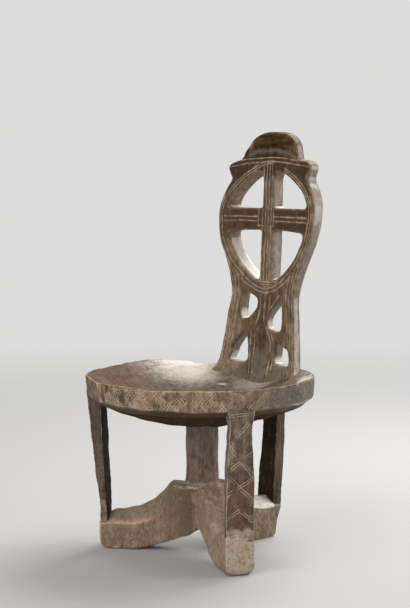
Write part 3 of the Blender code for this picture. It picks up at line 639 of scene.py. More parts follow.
# Incised lines of the back, in metres
incised = Settings(
    half=0.0012, depth=0.0009, halo=0.0042, wander=((0.0008, 0.035, 3),), margin=0.002,
    whole=0.78, broken=((0.22, 0.018, 4),),
    lowTop=0.62, lowDrop=0.15,
    ring=((0.005, 0.0045), (0.0095, 0.007)),  # distance outside the oval, and how much more low down
    unfinished=(0.006, 0.034, 0.65), yokeGap=0.008,
    edge=((0.0046, 0.0036, 0.625), (0.01, 0.0102, 0.5), (0.017, 0.019, 0.48)),
    beyond=(0.0105, 0.007),
    yoke=(0.0018, 0.0092),
    upright=(-0.011, -0.0042, 0.0026, 0.0088), uprightZ=(0.469, 0.684),
    arm=(0.5845, 0.5765), armClear=(-0.003, 0.0185),
    cross=(-0.0205, 0.0148), crossZ=(0.567, 0.604),
    # level strokes: height, left end and right end
    level=((0.568, -0.0215, 0.0158), (0.467, -0.016, 0.028), (0.462, -0.008, 0.024),
           (0.4575, -0.006, 0.022)),
    # lines of the splat and the sill, as x and z
    splat=(
        ((-0.01, 0.443), (-0.008, 0.42), (-0.014, 0.398), (-0.027, 0.373), (-0.029, 0.344),
         (-0.028, 0.315), (-0.023, 0.286)),
        ((-0.007, 0.387), (-0.018, 0.374), (-0.02, 0.345), (-0.021, 0.32), (-0.018, 0.3)),
        ((0.002, 0.443), (0.001, 0.414), (0.0, 0.394), (0.014, 0.37), (0.018, 0.355), (0.017, 0.331),
         (0.016, 0.305), (0.018, 0.284)),
        ((0.015, 0.443), (0.012, 0.422), (0.008, 0.399), (0.024, 0.362), (0.026, 0.342), (0.024, 0.305),
         (0.026, 0.284)),
        ((0.036, 0.443), (0.014, 0.418), (0.006, 0.398)),
        ((0.064, 0.318), (0.068, 0.29)),
        ((0.075, 0.318), (0.079, 0.292)),
    ),
)
# Marks of the back: strengths, and ranges that run from none to full, some with their strength as a third
backMarks = Settings(
    edge=0.62, edgeGloss=0.2, edgeReach=0.006, cutClear=0.0015, halo=0.46,
    dry=(0.58, 0.4), dryZ=(0.48, 0.44), dryX=(0.042, 0.054),
    crestShare=(0.25, 0.45, 0.85), crestX=(-0.026, -0.042), crestStart=0.1,
    redTop=(0.43, 0.4, 0.6), redFoot=(0.35, 0.38), redX=(0.052, 0.037),
    hollowAsh=0.8, footAsh=(0.362, 0.332, 0.62),
    handled=(0.5, 0.55, 0.68), uprightLess=0.3, smoky=(0.632, 0.662, 0.85),
    # painted highlight on the upward walls of the openings, and none on the front
    rearReach=0.003, ledge=(0.1, 0.5), ledgeChalk=1.3, frontChalk=-0.35,
    # painted shade on the walls of the openings, more towards the top
    shade=0.12, shadeTop=(0.6, 0.65, 0.25), wallSmoke=(0.62, 0.66, 0.4),
    top=(0.655, 0.675, 0.7), topFacing=(0.2, 0.7),
    # on the plain rear, and how much more on its border, from which the walls take their values
    rearWear=(0.15, 0.27), rearRed=0.1, rearAsh=(0.15, 0.45), rearSmoke=0.35,
    rearGloss=(0.25, 0.55), wallGlossLess=0.45, crestWearLess=0.5, crestAshLess=0.7,
)


def eggHalf(z, egg):  # half width of an egg: half · (1 - (rise / reach)²) ^ fullness
    half, up, down, fullUp, fullDown = egg
    rise = z - back.ovalZ
    above = half * unit(1.0 - (rise / up) ** 2) ** fullUp
    below = half * unit(1.0 - (rise / down) ** 2) ** fullDown
    return np.where(rise > 0, above, below)


def eggEdge(x, egg, above):  # height of an egg's upper or lower edge: the half width solved for the rise
    half, up, down, fullUp, fullDown = egg
    reach, full = (up, fullUp) if above else (-down, fullDown)
    return back.ovalZ + reach * np.sqrt(unit(1.0 - (np.abs(x) / half) ** (1.0 / full)))


def outerHalf(z):  # half width of the whole back: straight to the waist, a flare, then the egg of the ring
    taper = (back.footHalf - back.waistHalf) / (back.waistZ - seatTop)
    low = back.waistHalf + taper * (back.waistZ - z)
    climb = unit((z - back.waistZ) / (back.joinZ - back.waistZ))
    join = eggHalf(np.array(back.joinZ), back.ring)
    flare = back.waistHalf + (join - back.waistHalf) * climb ** back.flareCurve
    wide = eggHalf(z, back.shoulder)
    return np.where(z <= back.waistZ, low, np.where(z <= back.joinZ, flare, wide))


def yokeEdge(x):  # arched top of the yoke
    return back.yokeTop - back.yokeArch * (x / back.yokeHalf) ** 2


def backFront(x, z):  # leans back, bows like the rim and less so upwards, and comes forward at the foot
    fade = unit((back.yokeTop - z) / (back.yokeTop - seatTop))
    bow = back.radius - np.sqrt(back.radius ** 2 - x**2)
    sweep = back.lean * (z - seatTop) - fade * bow
    step = np.clip((back.forwardTop - z) / back.forwardDrop, 0.0, 1.2) ** 2
    return axisY + back.radius - back.thickness + sweep - back.footForward * step


def edgeHalf(z, side):  # half width on one side: the plain one, a swell at the waist and a flare at the foot
    swell = back.waistSwell[side] * bell(z, *back.swell)
    flare = back.footFlare[side] * np.clip((back.flareTop - z) / back.flareDrop, 0.0, 1.3) ** 2
    return outerHalf(z) + back.wider[side] + swell + flare


def bodyLoop():  # right edge upwards to the top of the shoulder egg, then the left edge downwards
    z = np.linspace(seatTop - 0.08, back.ovalZ + back.shoulder[1] - 0.001, 130)
    right = np.stack([edgeHalf(z, 1), z], 1)
    left = np.stack([-edgeHalf(z, -1), z], 1)
    return np.concatenate([right, left[::-1]])


def yokeLoop():  # bar with an arched top and a drawn end on either side
    x = np.linspace(yokeRight[-1][0], yokeLeft[0][0], 14)[1:-1]
    top = np.stack([x, yokeEdge(x)], 1)
    x = np.linspace(yokeLeft[-1][0], yokeRight[0][0], 8)[1:-1]
    foot = np.stack([x, np.full(len(x), yokeRight[0][1])], 1)
    return roundedLoop(np.concatenate([np.array(yokeRight), top, np.array(yokeLeft), foot]))


def crestLoop():  # smooth line through the crest's outline, closed by a foot inside the yoke
    x, share = np.array(crestEdge).T
    spots = np.stack([x, yokeEdge(x) + back.crestHeight * share], 1)
    right, left, drop = back.crestFoot
    foot = np.array([(right, back.yokeTop - drop), (left, back.yokeTop - drop)])
    return roundedLoop(np.concatenate([spots, foot]))


def eggLoop(egg):  # outline of an egg by turn: rise = reach · sin, x = half · |cos| ^ (2 · fullness)
    half, up, down, fullUp, fullDown = egg
    turn = np.linspace(0.0, math.tau, 180, endpoint=False)
    above = np.sin(turn) > 0
    z = back.ovalZ + np.where(above, up, down) * np.sin(turn)
    x = half * np.abs(np.cos(turn)) ** (2.0 * np.where(above, fullUp, fullDown)) * np.sign(np.cos(turn))
    return np.stack([x, z], 1)


def backFields():  # every distance that the members share, on one grid, and where the walls face up
    beside, below, above = back.room
    reach, top = back.ring[0] + beside, boxHigh[2] + above
    across = np.linspace(-reach, reach, int(2 * reach / back.cell))
    up = np.linspace(back.sillFoot - below, top, int((top - back.sillFoot) / back.cell))
    x, z = np.meshgrid(across, up)
    outer = softMax(loopField(bodyLoop(), x, z), loopField(yokeLoop(), x, z), back.neckFillet)
    outer = softMax(outer, loopField(crestLoop(), x, z), back.crestFillet)
    oval = loopField(eggLoop(back.oval), x, z)
    rise = (z - back.ovalZ + back.oval[2]) / (back.oval[1] + back.oval[2])
    upright = back.uprightFoot + (back.uprightTop - back.uprightFoot) * rise
    upright = upright - np.abs(x - back.uprightShift * rise)
    flare = np.where(z < back.armZ, back.armFlare * (np.abs(x) / back.oval[0]) ** 3, 0.0)
    arm = back.armHalf + flare - np.abs(z - back.armZ)
    cross = softMax(upright, arm, back.crossFillet)
    inner = softMax(-oval, cross, back.fillet + ease(z, *back.topFillet))
    height = back.ringBottom - back.sillTop
    lit = np.zeros_like(x)  # painted highlight on the lower left of each opening
    for side, points in openings:
        shares = np.array(points)
        level = back.sillTop + height * shares[:, 1]
        edge = side * shares[:, 0] * outerHalf(level)
        wall = -loopField(roundedLoop(np.stack([edge, level], 1)), x, z)
        if shares[:, 1].min() < 0:
            wall = softMax(wall, back.sillTop - z, back.fillet)
        inner = np.minimum(inner, wall)
        bottom = max(level.min(), back.sillTop)
        low = ease((z - bottom) / (level.max() - bottom), *back.litShare)
        left = ease(x - edge.mean(), *back.litX) * (wall < back.litReach)
        lit = np.maximum(lit, low * left)
    step = up[1] - up[0]
    ledge, crown = (unit(-np.gradient(field, step, axis=0)) for field in (inner, outer))
    return {
        "x": x, "z": z, "outer": outer, "inner": inner, "oval": oval, "upright": upright,
        "ledge": ledge, "crown": crown, "lit": lit,
    }


def backCuts(f):  # incised lines as distance fields, each kept to its own stretch
    x, z, outside = f["x"], f["z"], -f["oval"]
    wander = layered(x, z, 0.0, incised.wander)
    low = unit((incised.lowTop - z) / incised.lowDrop)
    gaps = []

    def addLine(gap, where=True):
        gaps.append(np.where(where, np.abs(gap + wander), 1.0))

    left, right, foot = incised.unfinished
    unfinished = between(x, left, right) & (z > foot)
    onRing = (outside > 0) & (z < yokeEdge(x) - incised.yokeGap) & ~unfinished
    for gap, more in incised.ring:
        addLine(outside - gap - more * low, onRing)
    gap, more = incised.beyond
    beyond = outside > gap + more * low
    for left, right, top in incised.edge:
        addLine(f["outer"] - np.where(x < 0, left, right), (z < top) & beyond)
    for drop in incised.yoke:
        addLine(z - yokeEdge(x) + drop, f["outer"] > incised.margin)
    onUpright = between(z, *incised.uprightZ) & (f["upright"] > -incised.margin)
    for line in incised.upright:
        addLine(x - line, onUpright)
    middle, half = incised.armClear
    onArm = (f["oval"] > -incised.margin) & (np.abs(x - middle) > half)
    for line in incised.arm:
        addLine(z - line, onArm)
    for line in incised.cross:
        addLine(x - line, between(z, *incised.crossZ))
    for line, left, right in incised.level:
        addLine(z - line, between(x, left, right))
    for line in incised.splat:
        addLine(lineGap(np.array(line), x, z))
    gap = np.min(gaps, axis=0)
    broken = incised.whole + layered(x, z, 0.0, incised.broken)
    return scratch(gap, incised.half) * broken, scratch(gap, incised.halo)


def backSurfaces(v):  # front and rear of the plank: sweep, rounded edges, hollow and roll of the crest, cuts
    x, z = v["x"], v["z"]
    front = backFront(x, z)
    outer, inner = unit(v["outer"]), unit(v["inner"])
    border = np.minimum(outer, inner)
    share = (z - yokeEdge(x)) / back.crestHeight
    onHead = smooth(share / back.crestEdgeRise) * ease(x, *back.crestEdgeX)
    edge = np.interp(x, back.edgeX, back.edge) + back.crestEdge * onHead
    bow = 1.0 - ((x - back.hollowX) / back.hollowHalf) ** 2
    middle = back.hollowFoot + back.hollowBow * bow
    hollow = bell(share, middle, back.hollowReach) * smooth(bow * 3.0) * smooth(share / 0.04)
    roll = smooth((share - middle) / back.rollRise) * smooth(share / 0.15)
    swell = back.roll * roll - back.hollow * hollow
    innerFall = rollOff(inner, back.innerEdge)
    m = backMarks
    cut = v["cut"] * smooth(border / m.cutClear)
    near = front - swell + np.maximum(rollOff(outer, edge), innerFall)
    near = near + layered(x, front, z, back.hewn) + incised.depth * cut
    far = front + eased(back.depth, z) - np.maximum(rollOff(outer, eased(back.rearEdge, z)), innerFall)
    far = far + layered(x, front, z, back.rearHewn)
    slope = unit(1.0 - np.abs(v["oval"]) / back.slopeReach) * smooth(-x / back.slopeX)
    spotX, spotZ = back.splatSpot
    leaning = bell(np.hypot(x - spotX, z - spotZ), 0.0, back.splatReach)
    slope = back.wallSlope * slope - back.splatSlope * leaning

    edges = 1.0 - smooth(border / m.edgeReach)
    below = share < 0.0  # under the crest
    dry = np.where(x < 0, *m.dry) * ease(z, *m.dryZ) * ease(np.abs(x), *m.dryX)
    crest = ease(share, *m.crestShare) * ease(x, *m.crestX)
    wear = np.max([m.edge * edges, m.halo * v["halo"] * below, dry, crest], axis=0)
    stain = ease(z, *m.redTop) * ease(z, *m.redFoot) * ease(np.abs(x), *m.redX)
    ash = np.maximum(m.hollowAsh * hollow, ease(z, *m.footAsh) * (1.0 - v["halo"]))
    handled = ease(z, *m.handled) * (1.0 - m.uprightLess * (v["upright"] > 0.0))
    smoke = np.maximum(handled, ease(z, *m.smoky)) * below
    flat = np.zeros_like(x)
    rim = 1.0 - smooth(border / m.rearReach)
    within = 1.0 * (inner < outer)  # walls of the openings
    # painted highlight on the upward walls of the openings and on their lower left
    ledge = np.maximum(ease(v["ledge"], *m.ledge), v["lit"]) * within * rim
    shaded = within * (m.shade + ease(z, *m.shadeTop))
    onCrest = smooth(share / m.crestStart)
    onTop = ease(z, *m.top) * ease(v["crown"], *m.topFacing)
    plain, more = m.rearWear
    rearWear = plain + more * rim * (1.0 - m.crestWearLess * onCrest)
    plain, more = m.rearAsh
    rearAsh = plain + (more - shaded) * rim * (1.0 - m.crestAshLess * onCrest)
    # darker on the plain rear, and painted shade on the walls of the openings towards the top
    rearSmoke = m.rearSmoke * (1.0 - rim) + within * rim * ease(z, *m.wallSmoke)
    plain, more = m.rearGloss
    rearGloss = np.maximum(plain + (more - m.wallGlossLess * within) * rim, ledge) * (1.0 - onTop)
    marks = {
        "cut": (cut, flat), "wear": (wear, rearWear), "stain": (stain, flat + m.rearRed),
        "chalk": (flat + m.frontChalk, m.ledgeChalk * ledge), "ash": (ash, rearAsh),
        "smoke": (smoke, rearSmoke), "gloss": (m.edgeGloss * edges, rearGloss),
    }
    return np.stack([x, near, z], 1), np.stack([x + slope, far, z], 1), marks


def makeBack():  # each member is the plank where its own field is positive
    f = backFields()
    f["cut"], f["halo"] = backCuts(f)
    x, z = f["x"], f["z"]
    wood = np.minimum(f["outer"], f["inner"])
    over = np.maximum(eggEdge(x, back.ring, True), back.yokeBottom) - z
    under = z - np.minimum(eggEdge(x, back.ring, False), back.stileTop)
    aboveSill = z - back.sillTop
    splatSeam, stileSeam = back.splatSeam * outerHalf(z), back.stileSeam * outerHalf(z)
    aboveBridge = {}
    for side, share in back.bridgeTop.items():
        aboveBridge[side] = aboveSill - (back.ringBottom - back.sillTop) * share
    beside = np.where(x < 0, aboveBridge[-1], aboveBridge[1])
    splat = np.maximum(splatSeam - np.abs(x), np.minimum(stileSeam - np.abs(x), beside))
    clear = np.abs(z - back.armZ) - back.armReach
    members = {
        "oval_frame": (over, under, -f["oval"]),
        "back_yoke": (-over, yokeEdge(x) - z),
        "back_crest": (z - yokeEdge(x),),
        "back_sill": (-aboveSill, z - back.sillFoot),
        "back_splat": (-under, aboveSill, splat),
        "cross_upright": (f["oval"], np.maximum(f["upright"], clear)),
    }
    for side, word in ((-1, "left"), (1, "right")):
        out = side * x
        members["back_%s_stile" % word] = (-under, aboveSill, out - stileSeam)
        members["back_%s_bridge" % word] = (out - splatSeam, stileSeam - out, aboveSill, -aboveBridge[side])
        members["cross_%s_arm" % word] = (f["oval"], -clear, -f["upright"], out)
    for node, limits in members.items():
        slot = "crest_wood" if node == "back_crest" else "back_wood"
        addPiece(node, cutBoard(f, np.min([wood, *limits], axis=0), backSurfaces), slot)
    print("back carved:", len(members), "members")


makeBack()


# Seat: a dish and a rim band, both turned profiles with a wandering edge

seat = Settings(
    dishRadius=0.188, dishDepth=0.05, padRadius=0.0325, padLevel=0.23, underEdge=0.267,
    underSwell=1.7, seam=0.1775, lipRadius=0.1953, lipCurve=1.15, lipDrop=0.0009,
    topRound=0.0026, footRound=0.0028, leanCurve=1.5,
    turns=1600, bandRows=42, dishTurns=420, dishRows=100, underRows=70,
    lift=(0.179, 0.191),  # radii over which the dish and the lip begin to follow the edge
    # deeper before the back: depth, reach in degrees, and radii of the inner and outer slope
    sink=0.011, sinkReach=22.0, sinkInner=(0.085, 0.135), sinkOuter=(0.182, 0.166),
    # degrees from the front, and how far the edge rises, stands out or leans in there, in metres
    edgeRise=(
        (-180, -0.004), (-150, -0.0065), (-138, -0.0066), (-134, -0.0056), (-132, -0.003), (-128, -0.0015),
        (-123, 0.0003), (-114, 0.0034), (-104, 0.0041), (-92, 0.002), (-85, 0.0007), (-70, 0.0),
        (-25, -0.003), (0, 0.001), (17, -0.002), (34, 0.0), (65, -0.0007), (83, 0.0005), (110, 0.001),
        (150, -0.001), (180, -0.004),
    ),
    edgeOut=(
        (-180, 0.0), (-76, 0.0), (-69, 0.005), (-64, 0.008), (-56, 0.0095), (-51, 0.009), (-46, 0.005),
        (-40, 0.0005), (-36, 0.0),
        (92, 0.0), (104, -0.002), (142, -0.002), (165, -0.001), (180, 0.0),
    ),
    taper=(
        (-180, 0.004), (-90, 0.003), (-60, 0.002), (75, 0.003), (95, 0.001), (145, 0.001), (180, 0.004),
    ),
    riseSpread=1.2, outSpread=5.0,
    hewn=((0.0005, 0.03, 21), (0.0003, 0.009, 26)), hewnDepth=0.0004,
    edgeWave=((0.0007, 0.018, 22),), footWave=((0.0012, 0.04, 25),),
    scooped=((0.0008, 0.07, 23), (0.00016, 0.017, 27)), underHewn=((0.0013, 0.035, 24),),
    # strokes of the hatch: how many round the band, lean, seed of the patches they fill, and strength
    strokes=((236, 1.0, 10, 1.0), (204, -0.9, 14, 0.9), (300, 0.55, 15, 0.6)),
    cutHalf=0.00085, cutDepth=0.0007, drift=((0.0016, 0.03, 8), (0.0006, 0.008, 9)),
    patch=0.034, fill=(-0.4, 0.3, 0.48), fillLeast=0.52,
    zigzags=24, zigzagHalf=0.0014, zigzagStrength=0.6,
    topLine=(0.005, 0.6), footLine=(0.004, 0.5),
    gap=(0.026, 16), kept=(-0.85, -0.15), clearTop=0.004, clearFoot=0.003,
)
# Marks of the rim by degrees from the front: ranges from none to full, or middle and reach, then a strength
rimMarks = Settings(
    meets=(176.0, 146.0),  # marks of the two sides fade where they meet behind
    cutRight=(78.0, 92.0, 0.75), cutLeft=(-22.0, -40.0, 0.45), cutBehind=0.4,
    arrisOut=(-0.002, 0.003), arrisDown=(-0.001, 0.0025),
    footArris=(0.0, 0.003, 0.38), footFrom=0.19,
    gilt=0.92, giltRight=(40.0, 70.0, 0.55), giltLeft=(-80.0, -100.0, 0.2), giltBehind=0.55,
    giltWhole=0.85, giltBroken=((0.15, 0.02, 28),),
    ochreLeft=(-18.0, 14.0, 0.85), ochreRight=(40.0, 8.0, 0.765), ochreDown=0.008,
    ochrePatch=(0.02, 29), ochreFill=(-0.35, 0.25), tan=(40.0, 10.0, 0.25),
    # a pale line along the foot of the band, on the right
    rubbedFoot=(0.001, 0.0025, 1.35), rubbedAt=(104.0, 18.0),
    grey=(58.0, 78.0, 0.66), lipAsh=0.95, lipAshLess=0.9, red=(23.0, 15.0, 0.6),
    # painted shade under the band
    underSmoke=(0.001, -0.001, 0.9), grime=(22.0, 2.0, 0.34),
    grimePatch=(0.022, 30), grimeFill=(-0.2, 0.5, 0.5), grimeFrom=(14.0, 2.0),
)
# Marks of the dish by degrees, radius and place, in the same form
dishMarks = Settings(
    # the polished far wall: gloss, and pale wear that also paints its highlight
    polishedAt=(-130.0, 30.0), polishedFrom=(0.07, 0.15), polishedWear=0.95,
    # before the back: pale dust and painted light against the back's shadow; painted shade under the dish
    behindFrom=(0.07, 0.12, 0.92), red=(0.04, 0.12), underSmoke=0.8,
    # one patch of painted highlight: direction of its axis, and middle and reach across and along it
    patchAxis=(0.74, 0.673), patchAcross=(0.0368, 0.013), patchAlong=(0.111, 0.009),
    # painted highlights on the far left and the right of the lip, and how pale they are
    patchGloss=0.8, leftAt=(-128.0, 18.0), leftFrom=(0.16, 0.18),
    rightAt=(122.0, 28.0, 0.88), rightFrom=(0.148, 0.174), chalk=0.95,
)


def dishTop(radius):  # bowl: top - depth · (1 - (r / R)²)
    return seatTop - seat.dishDepth * (1.0 - (radius / seat.dishRadius) ** 2)


def bowl(radius):  # the dish, and beyond the seam a lip that climbs to the arris
    climb = unit((radius - seat.seam) / (seat.lipRadius - seat.seam))
    lip = dishTop(seat.seam) + (seatTop - dishTop(seat.seam)) * climb ** seat.lipCurve
    return np.where(radius < seat.seam, dishTop(radius), lip)


def dishBottom(radius):  # flat pad over the post, then a swelling rise to the rim
    share = np.clip((radius - seat.padRadius) / (seat.seam - seat.padRadius), 0.0, 2.0)
    return seat.padLevel + (seat.underEdge - seat.padLevel) * share ** seat.underSwell


def hatchCut(along, level, x, y):  # leaning strokes that fill patches of the band, and a zigzag over them
    along, level = np.broadcast_arrays(along, level)
    height, half = seatTop - rimFoot, seat.cutHalf
    drift = layered(x, y, level, seat.drift)
    cuts = []
    for count, lean, seed, strength in seat.strokes:
        gap = math.tau * seatRadius / count
        shear = math.hypot(1.0, lean)
        stroke = (along + lean * level + drift * shear) / gap % 1.0 - 0.5
        filled = seat.fillLeast + ease(uneven(x, y, level, seat.patch, seed), *seat.fill)
        cuts.append(scratch(stroke * gap / shear, half) * filled * strength)
    period = math.tau * seatRadius / seat.zigzags
    slant = math.hypot(height, period / 2)
    border = np.abs(along % period - period / 2) * height - (height - level) * period / 2
    zigzag = np.abs(border / slant + drift) - seat.zigzagHalf
    cuts.append(scratch(zigzag, half) * seat.zigzagStrength)
    drop, strength = seat.topLine
    cuts.append(scratch(level - height + drop + drift, half) * strength)
    climb, strength = seat.footLine
    cuts.append(scratch(level - climb + drift, half) * strength)
    kept = ease(uneven(x, y, level, *seat.gap), *seat.kept)
    clear = smooth((height - level) / seat.clearTop) * smooth(level / seat.clearFoot)
    return np.max(cuts, axis=0) * kept * clear


def seatEdge(turns):  # turn, degrees, and how far the edge rises and stands out there
    turn = np.linspace(-math.pi, math.pi, turns, endpoint=False)
    degree = np.degrees(turn)
    rise = eased(seat.edgeRise, degree, seat.riseSpread)
    return turn, degree, rise, eased(seat.edgeOut, degree, seat.outSpread)


def makeRim():  # closed profile of lip, top, band, foot and underside, carried round the seat
    turn, degree, rise, out = seatEdge(seat.turns)
    taper = eased(seat.taper, degree, seat.outSpread)
    quarter = np.linspace(0.0, math.pi / 2, 5)
    topRound, footRound = seat.topRound, seat.footRound
    lip = np.linspace(seat.seam, seat.lipRadius, 6)
    lipLevel = bowl(lip) - seat.lipDrop * smooth((seat.lipRadius - lip) / 0.0012)  # under the dish
    band = np.linspace(seatTop - topRound, rimFoot + footRound, seat.bandRows)[1:-1]
    radius = np.concatenate([
        lip, seatRadius - topRound + topRound * np.sin(quarter), np.full(len(band), seatRadius),
        seatRadius - footRound * (1.0 - np.cos(quarter)), np.linspace(seatRadius - 0.006, seat.seam, 4),
    ])[:, None]
    level = np.concatenate([
        lipLevel, seatTop - topRound * (1.0 - np.cos(quarter)), band,
        rimFoot + footRound * (1.0 - np.sin(quarter)), np.linspace(rimFoot, seat.underEdge, 5)[1:],
    ])[:, None]
    onLip = np.arange(len(radius))[:, None] < len(lip)
    outward = ease(radius, seat.seam + 0.002, seat.seam + 0.012)
    high = ease(level, rimFoot, seatTop)
    onBand = radius > seatRadius - 0.0012
    x, y = seatRadius * np.sin(turn), -seatRadius * np.cos(turn)
    m = rimMarks
    meets = ease(np.abs(degree), *m.meets)
    rubbed = 1.0 - ease(degree, *m.cutRight) - ease(degree, *m.cutLeft)
    rubbed = m.cutBehind + (rubbed - m.cutBehind) * meets
    cut = hatchCut((turn + math.pi) * seatRadius, level - rimFoot, x, y) * onBand * rubbed
    z = level + rise * high * ease(radius, *seat.lift)
    hewn = layered(x, y, z, seat.hewn) - seat.hewnDepth
    lean = taper * unit(1.0 - high) ** seat.leanCurve
    ring = radius + outward * (out - lean + hewn) - seat.cutDepth * cut
    z = z + layered(x, y, 0.0, seat.edgeWave) * high * outward
    z = z + layered(x, y, 0.0, seat.footWave) * (1.0 - high) * outward
    rings = np.stack([ring * np.sin(turn), axisY - ring * np.cos(turn), z], -1)

    arris = bell(radius - seatRadius, *m.arrisOut) * bell(level - seatTop, *m.arrisDown)
    onFoot = radius > m.footFrom
    arris = np.maximum(arris, bell(level - rimFoot, *m.footArris) * onFoot)
    ochre = bell(degree, *m.ochreLeft) + bell(degree, *m.ochreRight)
    ochre = ochre * bell(level, seatTop, m.ochreDown)  # runs down from the arris in patches
    ochre = ochre * ease(uneven(x, y, z, *m.ochrePatch), *m.ochreFill)
    tan = np.maximum(ochre, bell(degree, *m.tan))
    gilt = m.gilt - ease(degree, *m.giltRight) - ease(degree, *m.giltLeft)
    gilt = m.giltBehind + (gilt - m.giltBehind) * meets
    gilt = gilt * (m.giltWhole + layered(x, y, 0.0, m.giltBroken))
    grime = ease(uneven(x, y, z, *m.grimePatch), *m.grimeFill) * ease(degree, *m.grimeFrom)
    grime = (grime + ease(degree, *m.grime)) * meets * onBand * (1.0 - unit(tan))
    # painted shade under the band, joined with grime on its left
    smoke = ease(level - rimFoot, *m.underSmoke) * (radius < seatRadius - 0.002)
    smoke = np.maximum(smoke, grime)
    grey = ease(degree, *m.grey) * meets * onBand
    marks = {
        "cut": cut, "wear": np.maximum(arris * gilt, tan * onBand) * (1.0 - smoke),
        "ash": np.where(onLip, m.lipAsh - m.lipAshLess * arris, grey),
        "stain": bell(degree, *m.red) * onBand, "smoke": smoke,
        "chalk": bell(level - rimFoot, *m.rubbedFoot) * onFoot * bell(degree, *m.rubbedAt),
    }
    addPiece("seat_rim", loftMesh(rings, marks, closedPath=True), "rim_wood")


def makeDish():  # profile from the middle of the hollow over the lip and back below to the middle
    turn, degree, rise, stands = seatEdge(seat.dishTurns)
    out = np.linspace(0.001, seat.lipRadius - 0.0003, seat.dishRows)
    below = np.linspace(seat.seam, 0.001, seat.underRows)
    wall = seat.seam + 0.002
    walls = [dishTop(seat.seam) - 0.004, seat.underEdge + 0.0006]
    radius = np.concatenate([out, [wall, wall], below])[:, None]
    level = np.concatenate([bowl(out), walls, dishBottom(below)])[:, None]
    topSide = np.arange(len(radius))[:, None] < len(out)
    lifted = ease(radius, *seat.lift) * topSide
    wide = radius + stands * lifted
    x, y = wide * np.sin(turn), -wide * np.cos(turn)
    inside = ease(radius, seat.lipRadius, seat.lipRadius - 0.014)
    behind = bell(np.abs(degree), 180.0, seat.sinkReach)
    sunk = behind * ease(radius, *seat.sinkInner) * ease(radius, *seat.sinkOuter)
    scooped = layered(x, y, 0.0, seat.scooped) - seat.sink * sunk
    hewn = np.where(topSide, scooped, layered(x, y, 0.0, seat.underHewn))
    z = level + hewn * inside + (rise + layered(x, y, 0.0, seat.edgeWave)) * lifted

    m = dishMarks
    # polished far wall: gloss, and pale wear that also paints its highlight
    polished = bell(degree, *m.polishedAt) * ease(radius, *m.polishedFrom) * topSide
    # before the back: pale dust and painted light against the back's shadow
    paled = behind * ease(radius, *m.behindFrom) * topSide
    # painted highlights: a patch, and the far left and the right of the lip
    right, front = m.patchAxis
    patch = bell(right * x + front * y, *m.patchAcross) * bell(right * y - front * x, *m.patchAlong)
    patch = patch * topSide
    leftRim = bell(degree, *m.leftAt) * ease(radius, *m.leftFrom) * topSide
    rightRim = bell(degree, *m.rightAt) * ease(radius, *m.rightFrom) * topSide
    marks = {
        "stain": ease(-x, *m.red) * topSide * (1.0 - polished),
        # painted shade under the dish
        "smoke": np.where(topSide, 0.0, m.underSmoke),
        "gloss": np.maximum(polished, m.patchGloss * patch),
        "wear": np.maximum(m.polishedWear * polished, paled),
        "chalk": m.chalk * np.max([leftRim, rightRim, patch], axis=0),
    }
    addPiece("seat_dish", loftMesh(np.stack([x, axisY + y, z], -1), marks), "seat_wood")


makeRim()
makeDish()
print("seat turned")


# Base: post, hub, feet and legs

